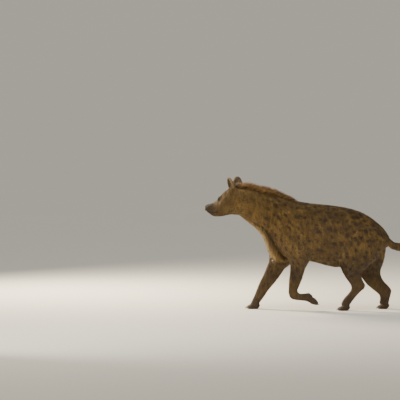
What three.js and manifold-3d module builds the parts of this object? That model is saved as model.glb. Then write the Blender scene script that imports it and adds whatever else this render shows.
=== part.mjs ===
// A life-size spotted hyena in mid stride, as a still museum model.
// Units are millimetres, +Z is up, the animal faces -X and its left side is at -Y.
// It stands on three paws, with the left forepaw lifted and folded back.
// Flesh is modelled whole from lofts and balls, then parted into named pieces by thin cuts.
import * as THREE from "three";
import { mergeVertices } from "three/addons/utils/BufferGeometryUtils.js";
import Module from "manifold-3d";

const wasm = await Module();
wasm.setup();

// Driving dimensions
const partGap = 0.3;
const originShift = -160;
const leftSide = -1;
const rightSide = 1;
const degrees = Math.PI / 180;
const headTurn = 20 * degrees;
const headPivotX = -416;
const eyeRadius = 12.5;
const eyePlace = { ahead: 169, side: 41, height: 806 };
const noseBackAhead = 272;
const earBase = { ahead: 66, side: 64, height: 882 };
const earSize = { tall: 96, wide: 78, deep: 42, wall: 5 };
const pawToes = [-27, -9.5, 9.5, 27];
const clawLength = 17;
const lockSink = 7;
const lockFlatness = 0.32;
const maneLocks = { rows: 14, across: 3, from: 0.6, to: 0.965, spread: 17, length: 52, width: 24, twist: 1.2 };
const fringeLocks = { rows: 9, across: 4, from: 0.615, to: 0.945, spread: 32, length: 72, width: 26, twist: 0.6 };
const brushLocks = { rows: 4, across: 4, from: 0.62, to: 0.92, spread: 180, length: 114, width: 28, twist: 0.6 };

// Stations give the upper and lower edge of a form in the side view, and its half width.
const trunkStations = [
  { at: "tailEnd", top: [646, 542], bottom: [642, 480], half: 30 },
  { at: "rump", top: [610, 597], bottom: [613, 437], half: 66 },
  { at: "pinBones", top: [555, 645], bottom: [555, 400], half: 92 },
  { at: "croup", top: [482, 692], bottom: [482, 364], half: 110 },
  { at: "hips", top: [394, 726], bottom: [391, 331], half: 122 },
  { at: "loin", top: [292, 750], bottom: [288, 309], half: 130 },
  { at: "flank", top: [182, 765], bottom: [179, 327], half: 138 },
  { at: "ribs", top: [73, 776], bottom: [66, 356], half: 144 },
  { at: "elbows", top: [-15, 791], bottom: [-29, 364], half: 142 },
  { at: "withers", top: [-69, 807], bottom: [-117, 385], half: 134 },
  { at: "shoulders", top: [-120, 825], bottom: [-182, 451], half: 121 },
  { at: "breast", top: [-182, 849], bottom: [-237, 539], half: 108 },
  { at: "neckBase", top: [-248, 869], bottom: [-292, 597], half: 98 },
  { at: "neckMid", top: [-318, 885], bottom: [-358, 639], half: 91 },
  { at: "neckTop", top: [-383, 900], bottom: [-412, 668], half: 86 },
  { at: "nape", top: [-445, 897], bottom: [-460, 694], half: 80 },
];
const foreLeftStations = [
  { at: "scapula", front: [-112, 742], back: [-30, 746], out: 52, half: 24 },
  { at: "shoulder", front: [-175, 648], back: [22, 656], out: 86, half: 48 },
  { at: "arm", front: [-186, 539], back: [58, 517], out: 92, half: 56 },
  { at: "armLow", front: [-146, 444], back: [77, 422], out: 94, half: 52 },
  { at: "elbow", front: [-88, 374], back: [66, 364], out: 94, half: 44 },
  { at: "forearm", front: [-74, 327], back: [42, 331], out: 92, half: 36 },
  { at: "foreMid", front: [-73, 276], back: [24, 280], out: 90, half: 31 },
  { at: "foreLow", front: [-78, 225], back: [9, 228], out: 88, half: 28 },
  { at: "wristTop", front: [-83, 174], back: [-11, 177], out: 86, half: 26 },
  { at: "wrist", front: [-85, 126], back: [-20, 148], out: 85, half: 28 },
  { at: "bend", front: [-69, 89], back: [-9, 126], out: 84, half: 28 },
  { at: "cannon", front: [-29, 76], back: [15, 123], out: 84, half: 27 },
  { at: "cannonLow", front: [18, 72], back: [39, 126], out: 84, half: 29 },
  { at: "knuckles", front: [58, 66], back: [70, 130], out: 84, half: 30 },
];
const foreRightStations = [
  { at: "scapula", front: [-134, 732], back: [-44, 736], out: 52, half: 24 },
  { at: "shoulder", front: [-201, 640], back: [7, 640], out: 86, half: 48 },
  { at: "arm", front: [-226, 528], back: [15, 505], out: 92, half: 56 },
  { at: "armLow", front: [-228, 430], back: [-15, 404], out: 94, half: 52 },
  { at: "elbow", front: [-224, 356], back: [-66, 331], out: 94, half: 44 },
  { at: "forearm", front: [-241, 305], back: [-113, 291], out: 92, half: 36 },
  { at: "foreMid", front: [-264, 250], back: [-147, 239], out: 90, half: 31 },
  { at: "foreLow", front: [-292, 196], back: [-182, 192], out: 88, half: 28 },
  { at: "wristTop", front: [-314, 145], back: [-223, 145], out: 86, half: 26 },
  { at: "wrist", front: [-331, 101], back: [-253, 99], out: 85, half: 28 },
  { at: "cannon", front: [-350, 62], back: [-283, 58], out: 84, half: 28 },
  { at: "knuckles", front: [-362, 34], back: [-306, 30], out: 84, half: 26 },
];
const hindLeftStations = [
  { at: "hip", front: [400, 672], back: [548, 622], out: 40, half: 24 },
  { at: "haunch", front: [318, 583], back: [616, 545], out: 76, half: 56 },
  { at: "thigh", front: [283, 451], back: [613, 451], out: 82, half: 62 },
  { at: "thighLow", front: [277, 356], back: [546, 364], out: 87, half: 56 },
  { at: "knee", front: [304, 287], back: [460, 294], out: 89, half: 42 },
  { at: "shank", front: [336, 232], back: [447, 248], out: 89, half: 32 },
  { at: "shankLow", front: [366, 190], back: [460, 213], out: 88, half: 26 },
  { at: "hock", front: [372, 157], back: [477, 177], out: 87, half: 25 },
  { at: "cannon", front: [346, 119], back: [438, 137], out: 86, half: 24 },
  { at: "cannonLow", front: [315, 85], back: [396, 90], out: 85, half: 25 },
  { at: "knuckles", front: [296, 45], back: [362, 42], out: 84, half: 25 },
];
const hindRightStations = [
  { at: "hip", front: [404, 668], back: [552, 618], out: 40, half: 24 },
  { at: "haunch", front: [332, 568], back: [626, 532], out: 76, half: 56 },
  { at: "thigh", front: [339, 444], back: [635, 437], out: 82, half: 62 },
  { at: "thighLow", front: [380, 356], back: [620, 360], out: 87, half: 56 },
  { at: "knee", front: [420, 287], back: [596, 291], out: 89, half: 42 },
  { at: "shank", front: [451, 232], back: [596, 243], out: 89, half: 32 },
  { at: "shankLow", front: [493, 177], back: [622, 197], out: 88, half: 27 },
  { at: "shankEnd", front: [548, 131], back: [656, 164], out: 87, half: 26 },
  { at: "hock", front: [584, 101], back: [674, 133], out: 86, half: 25 },
  { at: "cannon", front: [588, 70], back: [662, 84], out: 85, half: 25 },
  { at: "knuckles", front: [582, 40], back: [652, 38], out: 84, half: 25 },
];
const tailStations = [
  { at: "sunk", top: [594, 570], bottom: [598, 500], half: 30 },
  { at: "root", top: [628, 556], bottom: [620, 478], half: 33 },
  { at: "base", top: [656, 522], bottom: [642, 462], half: 27 },
  { at: "bend", top: [680, 497], bottom: [668, 450], half: 23 },
  { at: "level", top: [723, 485], bottom: [720, 438], half: 22 },
  { at: "mid", top: [781, 486], bottom: [785, 440], half: 21 },
  { at: "brush", top: [847, 489], bottom: [852, 446], half: 18 },
  { at: "brushEnd", top: [905, 482], bottom: [909, 450], half: 12 },
  { at: "tip", top: [938, 472], bottom: [938, 458], half: 6 },
];
const headStations = [
  { at: "noseTip", ahead: 287, top: 755, bottom: 734, half: 23 },
  { at: "nose", ahead: 280, top: 763, bottom: 719, half: 33 },
  { at: "lips", ahead: 260, top: 770, bottom: 701, half: 44 },
  { at: "muzzle", ahead: 228, top: 781, bottom: 680, half: 48 },
  { at: "stop", ahead: 200, top: 799, bottom: 677, half: 52 },
  { at: "eyes", ahead: 171, top: 834, bottom: 678, half: 63 },
  { at: "cheeks", ahead: 136, top: 866, bottom: 685, half: 80 },
  { at: "jaw", ahead: 93, top: 889, bottom: 693, half: 90 },
  { at: "ears", ahead: 47, top: 902, bottom: 692, half: 87 },
  { at: "neck", ahead: 4, top: 892, bottom: 694, half: 80 },
];

// Dense cores of the long coat, which the locks are rooted in: along the crest, and under neck and chest
const maneStations = [
  { at: "behindEars", top: [-428, 914], bottom: [-424, 880], half: 30 },
  { at: "nape", top: [-388, 916], bottom: [-380, 865], half: 40 },
  { at: "neckMid", top: [-318, 900], bottom: [-310, 850], half: 42 },
  { at: "neckBase", top: [-245, 883], bottom: [-240, 830], half: 40 },
  { at: "breast", top: [-180, 861], bottom: [-175, 805], half: 37 },
  { at: "shoulders", top: [-118, 835], bottom: [-115, 790], half: 33 },
  { at: "withers", top: [-64, 813], bottom: [-64, 775], half: 28 },
  { at: "end", top: [-20, 797], bottom: [-22, 765], half: 18 },
];
const fringeStations = [
  { at: "throat", top: [-404, 700], bottom: [-412, 656], half: 34 },
  { at: "neckMid", top: [-335, 690], bottom: [-356, 620], half: 48 },
  { at: "neckBase", top: [-260, 640], bottom: [-300, 574], half: 54 },
  { at: "breast", top: [-205, 575], bottom: [-256, 512], half: 58 },
  { at: "chest", top: [-150, 490], bottom: [-210, 422], half: 50 },
  { at: "sternum", top: [-110, 430], bottom: [-156, 376], half: 36 },
  { at: "end", top: [-76, 410], bottom: [-104, 364], half: 22 },
];

// Solids
function solidOf(geometry) {
  const bare = new THREE.BufferGeometry();
  bare.setAttribute("position", geometry.getAttribute("position").clone());
  if (geometry.index) bare.setIndex(geometry.index.clone());
  const merged = mergeVertices(bare, 1e-4);
  const triVerts = new Uint32Array(merged.index.array);
  const vertProperties = new Float32Array(merged.attributes.position.array);
  let made = new wasm.Manifold(new wasm.Mesh({ numProp: 3, vertProperties, triVerts }));
  if (made.volume() < 0) {
    for (let i = 0; i < triVerts.length; i += 3) {
      [triVerts[i + 1], triVerts[i + 2]] = [triVerts[i + 2], triVerts[i + 1]];
    }
    made = new wasm.Manifold(new wasm.Mesh({ numProp: 3, vertProperties, triVerts }));
  }
  return made;
}

function geometryOf(solid) {
  const mesh = solid.getMesh();
  const positions = new Float32Array(mesh.numVert * 3);
  for (let i = 0; i < mesh.numVert; i++) {
    positions.set(mesh.vertProperties.subarray(i * mesh.numProp, i * mesh.numProp + 3), i * 3);
  }
  const geometry = new THREE.BufferGeometry();
  geometry.setAttribute("position", new THREE.BufferAttribute(positions, 3));
  geometry.setIndex(new THREE.BufferAttribute(new Uint32Array(mesh.triVerts), 1));
  geometry.computeVertexNormals();
  return geometry;
}

function joined(solids) {
  return solids.reduce((whole, solid) => whole.add(solid));
}

function largest(solid) {
  const bodies = solid.decompose();
  bodies.sort((a, b) => b.volume() - a.volume());
  return bodies[0];
}

// Cuts a solid in two with a thin slab, and gives the larger part, then the smaller one.
function parted(solid, slab) {
  const bodies = solid.subtract(slab).decompose();
  bodies.sort((a, b) => b.volume() - a.volume());
  return [bodies[0], bodies[1]];
}

function box(size, place) {
  return solidOf(new THREE.BoxGeometry(...size).applyMatrix4(place));
}

function at(x, y, z, turnX = 0, turnY = 0, turnZ = 0) {
  const turn = new THREE.Quaternion().setFromEuler(new THREE.Euler(turnX, turnY, turnZ, "ZYX"));
  return new THREE.Matrix4().compose(new THREE.Vector3(x, y, z), turn, new THREE.Vector3(1, 1, 1));
}

function ball(radii, place, around = 14, down = 9) {
  const geometry = new THREE.SphereGeometry(1, around, down).rotateX(Math.PI / 2);
  geometry.scale(...radii).applyMatrix4(place);
  return solidOf(geometry);
}

// A smooth surface through the stations: t runs from 0 to 1 along it, angle goes round, 90 degrees at the top.
function surfaceOf(stations, side = 0, fullness = 2.2, pear = 0) {
  const edge = (pick) => {
    const points = stations.map((s) => new THREE.Vector3(pick(s)[0], side * (s.out ?? 0), pick(s)[1]));
    return new THREE.CatmullRomCurve3(points, false, "centripetal");
  };
  const upper = edge((s) => s.top ?? s.front);
  const lower = edge((s) => s.bottom ?? s.back);
  const widths = new THREE.CatmullRomCurve3(stations.map((s, i) => new THREE.Vector3(i, s.half, 0)));
  const power = (value) => Math.sign(value) * Math.abs(value) ** (2 / fullness);
  return (t, angle) => {
    const a = upper.getPoint(t);
    const b = lower.getPoint(t);
    const up = power(Math.sin(angle));
    const across = power(Math.cos(angle)) * widths.getPoint(t).y * (1 + pear * up);
    const point = a.clone().add(b).multiplyScalar(0.5).addScaledVector(a.clone().sub(b), up / 2);
    point.y += across;
    return point;
  };
}

function loft(surface, rings, sides) {
  const positions = [];
  const index = [];
  for (let r = 0; r <= rings; r++) {
    for (let s = 0; s < sides; s++) {
      positions.push(...surface(r / rings, (2 * Math.PI * (s + 0.5)) / sides).toArray());
    }
  }
  for (let r = 0; r < rings; r++) {
    for (let s = 0; s < sides; s++) {
      const a = r * sides + s;
      const b = r * sides + ((s + 1) % sides);
      index.push(a, b, b + sides, a, b + sides, a + sides);
    }
  }
  for (const [ring, turned] of [[0, true], [rings, false]]) {
    const centre = new THREE.Vector3();
    for (let s = 0; s < sides; s++) {
      centre.add(new THREE.Vector3().fromArray(positions, (ring * sides + s) * 3));
    }
    positions.push(...centre.divideScalar(sides).toArray());
    const hub = positions.length / 3 - 1;
    for (let s = 0; s < sides; s++) {
      const a = ring * sides + s;
      const b = ring * sides + ((s + 1) % sides);
      index.push(...(turned ? [b, a, hub] : [a, b, hub]));
    }
  }
  const geometry = new THREE.BufferGeometry();
  geometry.setAttribute("position", new THREE.Float32BufferAttribute(positions, 3));
  geometry.setIndex(index);
  return geometry;
}

// Numbers between 0 and 1 that come out the same at every build
function randomFrom(seed) {
  let state = seed;
  return () => {
    state = (state * 1664525 + 1013904223) % 4294967296;
    return state / 4294967296;
  };
}

// A flat, tapered lock of hair: it leaves its root at the angle lift, bends over by droop and ends in a point
function makeLock(root, out, lie, { length, width, lift, droop, twist }) {
  const turned = new THREE.Vector3().crossVectors(out, lie).normalize().applyAxisAngle(lie, twist);
  const widths = [0.8, 1, 0.66];
  const positions = [];
  const spine = root.clone();
  const step = new THREE.Vector3();
  const headed = (angle) => step.copy(lie).multiplyScalar(Math.cos(angle)).addScaledVector(out, Math.sin(angle));
  spine.addScaledVector(headed(lift), -lockSink);
  widths.forEach((share, i) => {
    const angle = lift - (droop * i) / 3;
    const flat = new THREE.Vector3().crossVectors(turned, headed(angle)).normalize();
    const half = (width * share) / 2;
    for (const [a, b] of [[1, 0], [0, 1], [-1, 0], [0, -1]]) {
      const corner = spine.clone().addScaledVector(turned, a * half);
      positions.push(...corner.addScaledVector(flat, b * half * lockFlatness).toArray());
    }
    spine.addScaledVector(headed(angle), i === 0 ? length * 0.3 + lockSink : length * 0.35);
  });
  positions.push(...spine.toArray());
  const index = [0, 2, 1, 0, 3, 2];
  for (let i = 0; i < 8; i += 4) {
    for (let k = 0; k < 4; k++) {
      const next = (k + 1) % 4;
      index.push(i + k, i + next, i + next + 4, i + k, i + next + 4, i + k + 4);
    }
  }
  for (let k = 0; k < 4; k++) index.push(8 + k, 8 + ((k + 1) % 4), 12);
  const geometry = new THREE.BufferGeometry();
  geometry.setAttribute("position", new THREE.Float32BufferAttribute(positions, 3));
  geometry.setIndex(index);
  return solidOf(geometry);
}

// Outward direction of a surface at t and angle
function outwardOf(surface, t, angle) {
  const along = surface(t + 0.002, angle).sub(surface(t - 0.002, angle));
  const round = surface(t, angle + 0.01).sub(surface(t, angle - 0.01));
  const out = new THREE.Vector3().crossVectors(along, round).normalize();
  const inside = surface(t, angle).add(surface(t, angle + Math.PI)).multiplyScalar(0.5);
  return out.dot(surface(t, angle).sub(inside)) < 0 ? out.negate() : out;
}

// Rows of locks over a band of a surface, each laid along the wanted direction
function lockField(surface, field, middle, wanted, random) {
  const locks = [];
  for (let row = 0; row < field.rows; row++) {
    for (let k = 0; k < field.across; k++) {
      const t = field.from + ((row + 0.5 + 0.5 * (random() - 0.5)) / field.rows) * (field.to - field.from);
      const shift = (k + 0.25 + 0.5 * (row % 2) + 0.3 * (random() - 0.5)) / field.across;
      const angle = (middle + (shift * 2 - 1) * field.spread) * degrees;
      const out = outwardOf(surface, t, angle);
      const { lie, lift, droop, size } = wanted(t, out);
      lie.y += 0.35 * (random() - 0.5);
      lie.addScaledVector(out, -lie.dot(out)).normalize();
      const length = field.length * size * (0.82 + 0.36 * random());
      const width = field.width * (0.85 + 0.3 * random());
      const raised = lift + 0.24 * (random() - 0.5);
      const twist = field.twist * (random() - 0.5);
      locks.push(makeLock(surface(t, angle), out, lie, { length, width, lift: raised, droop, twist }));
    }
  }
  return joined(locks);
}

const maneWays = [[-1, -1, 1], [1, 1, 1], [0, 0, 0]];
const fringeWays = [[-1, -1, -1], [1, 1, -1], [-1, -1, 1], [0, 0, 0]];

// Clears a piece from the solid that it lies on, by a small gap toward the given sides
function clearOf(piece, bed, ways) {
  return ways.reduce((left, way) => left.subtract(bed.translate(way.map((w) => w * partGap))), piece);
}

// Trunk and neck
const trunkSurface = surfaceOf(trunkStations, 0, 2.25, -0.08);
const trunk = solidOf(loft(trunkSurface, 25, 18));
const tailSurface = surfaceOf(tailStations, 0, 2.1);
const tailFlesh = solidOf(loft(tailSurface, 11, 10));

// Head, built facing -X about its own pivot, then turned to the animal's right
const headPlace = new THREE.Matrix4().makeTranslation(headPivotX, 0, 0).multiply(at(0, 0, 0, 0, 0, -headTurn));
const headSpot = (ahead, side, height, ...turns) => headPlace.clone().multiply(at(-ahead, side, height, ...turns));
const bothSides = [leftSide, rightSide];

function makeHead() {
  const stations = headStations.map((s) => ({ top: [-s.ahead, s.top], bottom: [-s.ahead, s.bottom], half: s.half }));
  const skull = solidOf(loft(surfaceOf(stations, 0, 2.35, -0.14), 14, 14).applyMatrix4(headPlace));
  const forms = [skull];
  for (const side of bothSides) {
    const cheek = ball([66, 30, 62], headSpot(102, side * 61, 766, 0, 0.12, side * 0.1), 9, 6);
    const brow = ball([30, 12, 11], headSpot(164, side * 40, 820, 0, -0.5, side * 0.62), 8, 5);
    const lip = ball([42, 14, 22], headSpot(246, side * 32, 729, 0, 0.12, side * -0.08), 10, 6);
    const earMound = ball([42, 34, 42], headSpot(60, side * 52, 864, 0, 0.2, 0), 10, 7);
    forms.push(cheek, brow, lip, earMound);
  }
  forms.push(ball([22, 24, 18], headSpot(272, 0, 746), 10, 6));
  return joined(forms);
}

// Lids round each eye: a shell with an almond opening, and the socket that the eyeball sits in
function eyeSpot(side, ...turns) {
  return headSpot(eyePlace.ahead, side * eyePlace.side, eyePlace.height, ...turns);
}

function addLids(head, side) {
  const lids = ball([eyeRadius + 3.4, eyeRadius + 3.4, eyeRadius + 3], eyeSpot(side), 10, 7);
  const gaze = side * 50 * degrees;
  const almond = new THREE.SphereGeometry(1, 8, 6).scale(22, 11, 6.8);
  almond.applyMatrix4(at(-15, 0, 0));
  almond.applyMatrix4(eyeSpot(side, 0, 0, gaze * -1));
  const socket = ball([eyeRadius + partGap, eyeRadius + partGap, eyeRadius + partGap], eyeSpot(side), 10, 7);
  return head.add(lids).subtract(solidOf(almond)).subtract(socket);
}

function makeEye(side) {
  return ball([eyeRadius, eyeRadius, eyeRadius], eyeSpot(side), 10, 7);
}

// Line of the mouth: a thin curved strip that cuts only the outer few millimetres of the muzzle
function mouthGroove() {
  const line = new THREE.SplineCurve([
    new THREE.Vector2(-300, 720),
    new THREE.Vector2(-270, 718),
    new THREE.Vector2(-235, 710),
    new THREE.Vector2(-205, 707),
    new THREE.Vector2(-178, 716),
  ]);
  const points = line.getPoints(5);
  const lower = points.map((p) => new THREE.Vector2(p.x, p.y - 2.6)).reverse();
  const strip = new THREE.ExtrudeGeometry(new THREE.Shape([...points, ...lower]), { depth: 120, bevelEnabled: false });
  strip.rotateX(Math.PI / 2).translate(0, 60, 0).applyMatrix4(headPlace);
  const core = [
    { top: [-281, 745], bottom: [-281, 690], half: 22 },
    { top: [-256, 760], bottom: [-256, 690], half: 35 },
    { top: [-225, 770], bottom: [-225, 670], half: 40.5 },
    { top: [-170, 780], bottom: [-170, 670], half: 55 },
  ];
  return solidOf(strip).subtract(solidOf(loft(surfaceOf(core, 0, 2.6), 3, 14).applyMatrix4(headPlace)));
}

function nostrils() {
  const holes = bothSides.map((side) => ball([9, 4.2, 5.4], headSpot(287, side * 12, 749, 0, 0, side * 0.7), 6, 4));
  const philtrum = ball([5, 1.6, 16], headSpot(289, 0, 739), 6, 4);
  return joined([...holes, philtrum]);
}

function noseCutter() {
  const behind = box([partGap, 90, 80], headSpot(noseBackAhead, 0, 773));
  const beneath = box([60, 90, partGap], headSpot(noseBackAhead + 30, 0, 733));
  return behind.add(beneath);
}

// Ear: a rounded, thick-walled cup on a solid root, opening forward and outward
function makeEar(side) {
  const lean = at(0, 0, 0, 0, 0, side * -38 * degrees).multiply(at(0, 0, 0, side * -0.2, -0.3, 0));
  const place = headSpot(earBase.ahead, side * earBase.side, earBase.height).multiply(lean);
  const local = (x, y, z, ...turns) => place.clone().multiply(at(x, y, z, ...turns));
  const mid = earSize.tall * 0.44;
  const outer = ball([earSize.deep / 2, earSize.wide / 2, earSize.tall * 0.56], local(0, 0, mid), 12, 8);
  const hollowRadii = [earSize.deep / 2 + 8, earSize.wide / 2 - earSize.wall, earSize.tall * 0.56 - earSize.wall];
  const hollow = ball(hollowRadii, local(-12 - earSize.wall, 0, mid + 6), 12, 7);
  const opened = box([40, 120, 220], local(-34, 0, mid, 0, 0.12, 0));
  const root = ball([18, 26, 30], local(9, 0, 2), 8, 5);
  return outer.subtract(hollow).subtract(opened).add(root);
}

function earCutter(side) {
  const place = headSpot(earBase.ahead, side * earBase.side, earBase.height, side * -0.3, 0, 0);
  return box([100, 100, partGap], place.multiply(at(0, side * 6, 14)));
}

// Paws: a pad and knuckles, four toes and their claws; the sole is at height 0 and the toes point to -X
function makePaw({ pawPlace: place, pawLength: length, pawScale: scale, toeSize, lifted }) {
  const local = (x, y, z, ...turns) => place.clone().multiply(at(x * scale, y * scale, z * scale, ...turns));
  const sized = (radii) => radii.map((r) => r * scale);
  const forms = [ball(sized([35, 34, 27.5]), local(3, 0, 26), 10, 6)];
  if (lifted) {
    forms.push(ball(sized([20, 24, 12]), local(4, 0, 6), 8, 5));
    pawToes.forEach((offset) => {
      forms.push(ball(sized([12, 8.5, 8]), local(18 - toeReach(offset, length), offset * 1.02, 7), 6, 4));
    });
  }
  for (const offset of pawToes) {
    const reach = toeReach(offset, length);
    const toe = local(29 - reach, offset * 1.02, 15.5, 0, -0.2, offset * -0.006);
    forms.push(ball(sized(toeSize), toe, 7, 5));
  }
  return joined(forms);
}

function toeReach(offset, length) {
  return Math.abs(offset) > 15 ? length - 11 : length;
}

function clawPlace(place, offset, length, scale) {
  const reach = toeReach(offset, length) * scale;
  const tip = at(-reach + 4 * scale, offset * 1.1 * scale, 14 * scale, 0, -0.5, offset * -0.006);
  return place.clone().multiply(tip);
}

// A blunt claw whose root is sunk in the toe; grown by the part gap it cuts its own socket
function makeClaw(place, grow) {
  const stations = [
    { top: [5 + grow, 3.6 + grow], bottom: [5 + grow, -3.6 - grow], half: 2.6 + grow },
    { top: [-4, 4 + grow], bottom: [-4, -3.6 - grow], half: 2.8 + grow },
    { top: [-12, 1.8 + grow], bottom: [-11, -4 - grow], half: 2.2 + grow },
    { top: [-clawLength - grow, -3.2 + grow], bottom: [-clawLength - grow, -5.4 - grow], half: 0.9 + grow },
  ];
  return solidOf(loft(surfaceOf(stations, 0, 2), 3, 4).applyMatrix4(place));
}

// A prism through the animal's side, from an outline in the side view
function prism(outline, side, from, to) {
  const shape = new THREE.Shape(outline.map(([x, z]) => new THREE.Vector2(x, z)));
  const geometry = new THREE.ExtrudeGeometry(shape, { depth: to - from, bevelEnabled: false });
  geometry.rotateX(Math.PI / 2);
  geometry.translate(0, side > 0 ? to : -from, 0);
  return solidOf(geometry);
}

// The room of one leg: all on its side that hangs below the belly line
function legRoom(leg, grow) {
  const [first, last] = [leg.belly[0], leg.belly.at(-1)];
  const outline = [[last[0] - grow, -20], [first[0] + grow, -20]];
  leg.belly.forEach(([x, z]) => outline.push([x, z + grow]));
  return prism(outline, leg.side, leg.inner - grow, 260);
}

const legs = {
  foreleg_left: {
    side: leftSide,
    inner: 34,
    stations: foreLeftStations,
    belly: [[160, 330], [66, 350], [-29, 358], [-117, 379], [-182, 445], [-212, 480]],
    lowerEnd: at(8, -84, 101, 0, 1.15, 0),
    pawPlace: at(84, -84, 107, 0, -134 * degrees, 0),
    pawLength: 73,
    pawScale: 1,
    toeSize: [34, 11.5, 21],
    lifted: true,
  },
  foreleg_right: {
    side: rightSide,
    inner: 34,
    stations: foreRightStations,
    belly: [[50, 350], [-29, 358], [-117, 379], [-182, 445], [-237, 530], [-420, 560]],
    lowerEnd: at(-305, 84, 84, 0, 0.1, 0),
    pawPlace: at(-328, 84, 0),
    pawLength: 62,
    pawScale: 1,
    toeSize: [30, 11, 17.5],
  },
  hindleg_left: {
    side: leftSide,
    inner: 12,
    stations: hindLeftStations,
    belly: [[648, 455], [613, 430], [555, 393], [482, 357], [391, 324], [288, 300], [230, 300]],
    lowerEnd: at(356, -85, 88, 0, 0.2, 0),
    pawPlace: at(328, -84, 0),
    pawLength: 58,
    pawScale: 0.95,
    toeSize: [30, 11, 17.5],
  },
  hindleg_right: {
    side: rightSide,
    inner: 12,
    stations: hindRightStations,
    belly: [[700, 470], [613, 430], [555, 393], [482, 357], [391, 324], [298, 300]],
    lowerEnd: at(622, 85, 80, 0, -0.1, 0),
    pawPlace: at(622, 84, 0),
    pawLength: 56,
    pawScale: 0.95,
    toeSize: [30, 11, 17.5],
  },
};

// Materials
const coat = new THREE.MeshStandardMaterial({ color: 0x9a7a4e, roughness: 0.95, metalness: 0 });
const darkCoat = new THREE.MeshStandardMaterial({ color: 0x3a2a1c, roughness: 0.95, metalness: 0 });
const eyeMaterial = new THREE.MeshStandardMaterial({ color: 0x1c120b, roughness: 0.1, metalness: 0 });
const noseMaterial = new THREE.MeshStandardMaterial({ color: 0x191513, roughness: 0.45, metalness: 0 });
const clawMaterial = new THREE.MeshStandardMaterial({ color: 0x2e241c, roughness: 0.5, metalness: 0 });

const hyena = new THREE.Group();

function addNode(name, solid, material) {
  const mesh = new THREE.Mesh(geometryOf(largest(solid)), material.clone());
  mesh.name = name;
  hyena.add(mesh);
}

// The whole flesh, then its parts
let whole = joined([trunk, makeHead()]);
for (const side of bothSides) {
  whole = addLids(whole, side).add(makeEar(side));
}
whole = whole.subtract(mouthGroove()).subtract(nostrils());

const pieces = {};
for (const [word, side] of [["left", leftSide], ["right", rightSide]]) {
  [whole, pieces[`ear_${word}`]] = parted(whole, earCutter(side));
  addNode(`eye_${word}`, makeEye(side), eyeMaterial);
}
[whole, pieces.nose] = parted(whole, noseCutter());
whole = whole.add(tailFlesh);
[whole, pieces.tail_base] = parted(whole, box([partGap, 200, 320], at(636, 0, 510, 0, -0.35, 0)));
[pieces.tail_base, pieces.tail_brush] = parted(pieces.tail_base, box([partGap, 160, 200], at(742, 0, 462)));

const belowFloor = box([3000, 1000, 100], at(0, 0, -50));
for (const leg of Object.values(legs)) {
  const surface = surfaceOf(leg.stations, leg.side, 2.15);
  leg.flesh = solidOf(loft(surface, Math.round(leg.stations.length * 1.35), 12));
  leg.paw = makePaw(leg).subtract(belowFloor);
  whole = whole.add(leg.flesh).add(leg.paw);
}
whole = whole.subtract(belowFloor);
for (const [name, leg] of Object.entries(legs)) {
  const flesh = largest(whole.intersect(legRoom(leg, 0)));
  whole = whole.subtract(legRoom(leg, partGap));
  let paw;
  [pieces[name], paw] = parted(flesh, box([130, 200, partGap], leg.lowerEnd));
  for (const [toe, offset] of pawToes.entries()) {
    const root = clawPlace(leg.pawPlace, offset, leg.pawLength, leg.pawScale);
    paw = paw.subtract(makeClaw(root, partGap));
    addNode(`claw_${name}_${toe + 1}`, makeClaw(root, 0), clawMaterial);
  }
  addNode(`paw_${name}`, paw, darkCoat);
}

[whole, pieces.head] = parted(largest(whole), box([partGap, 400, 600], at(-418, 0, 790, 0, -0.1, 0)));
[pieces.torso, pieces.neck] = parted(whole, box([partGap, 400, 900], at(-168, 0, 700, 0, 0.36, 0)));

// The mane stands up and leans back; it is shorter toward the withers
const random = randomFrom(41);
const maneLie = (t) => ({
  lie: new THREE.Vector3(1, 0, 0),
  lift: 0.95,
  droop: 0.55,
  size: 0.66 + 0.34 * Math.min(1, (t - 0.6) / 0.26),
});
const maneFlesh = solidOf(loft(surfaceOf(maneStations, 0, 2), 10, 10));
pieces.mane = maneFlesh.add(lockField(trunkSurface, maneLocks, 90, maneLie, random));

// The fringe hangs from throat and breast, longest at the front of the chest
const fringeLie = (t, out) => ({
  lie: new THREE.Vector3(0.3 - 0.5 * out.z, 0, -1),
  lift: 0.75,
  droop: 0.5,
  size: 0.8 + 0.3 * Math.sin(Math.PI * Math.min(1, Math.max(0, (t - 0.6) / 0.34))),
});
const fringeFlesh = solidOf(loft(surfaceOf(fringeStations, 0, 2), 10, 12));
pieces.throat_fringe = fringeFlesh.add(lockField(trunkSurface, fringeLocks, 270, fringeLie, random));
for (const bed of [pieces.head, pieces.neck, pieces.torso]) {
  pieces.mane = clearOf(pieces.mane, bed, maneWays);
  pieces.throat_fringe = clearOf(pieces.throat_fringe, bed, fringeWays);
}
for (const bed of [pieces.foreleg_left, pieces.foreleg_right]) {
  pieces.throat_fringe = clearOf(pieces.throat_fringe, bed, fringeWays);
}

// The brush of the tail
const brushLie = () => ({ lie: new THREE.Vector3(1, 0, -0.08), lift: 0.3, droop: 0.2, size: 1 });
const brush = lockField(tailSurface, brushLocks, 0, brushLie, random);
pieces.tail_brush = pieces.tail_brush.add(brush);

const ownMaterials = { nose: noseMaterial, tail_brush: darkCoat };
for (const [name, solid] of Object.entries(pieces)) {
  addNode(name, solid, ownMaterials[name] ?? coat);
}
hyena.position.x = originShift;

export default hyena;
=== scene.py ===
import math
import bpy
import numpy as np
from mathutils import Matrix, Vector
from mathutils.bvhtree import BVHTree


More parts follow.
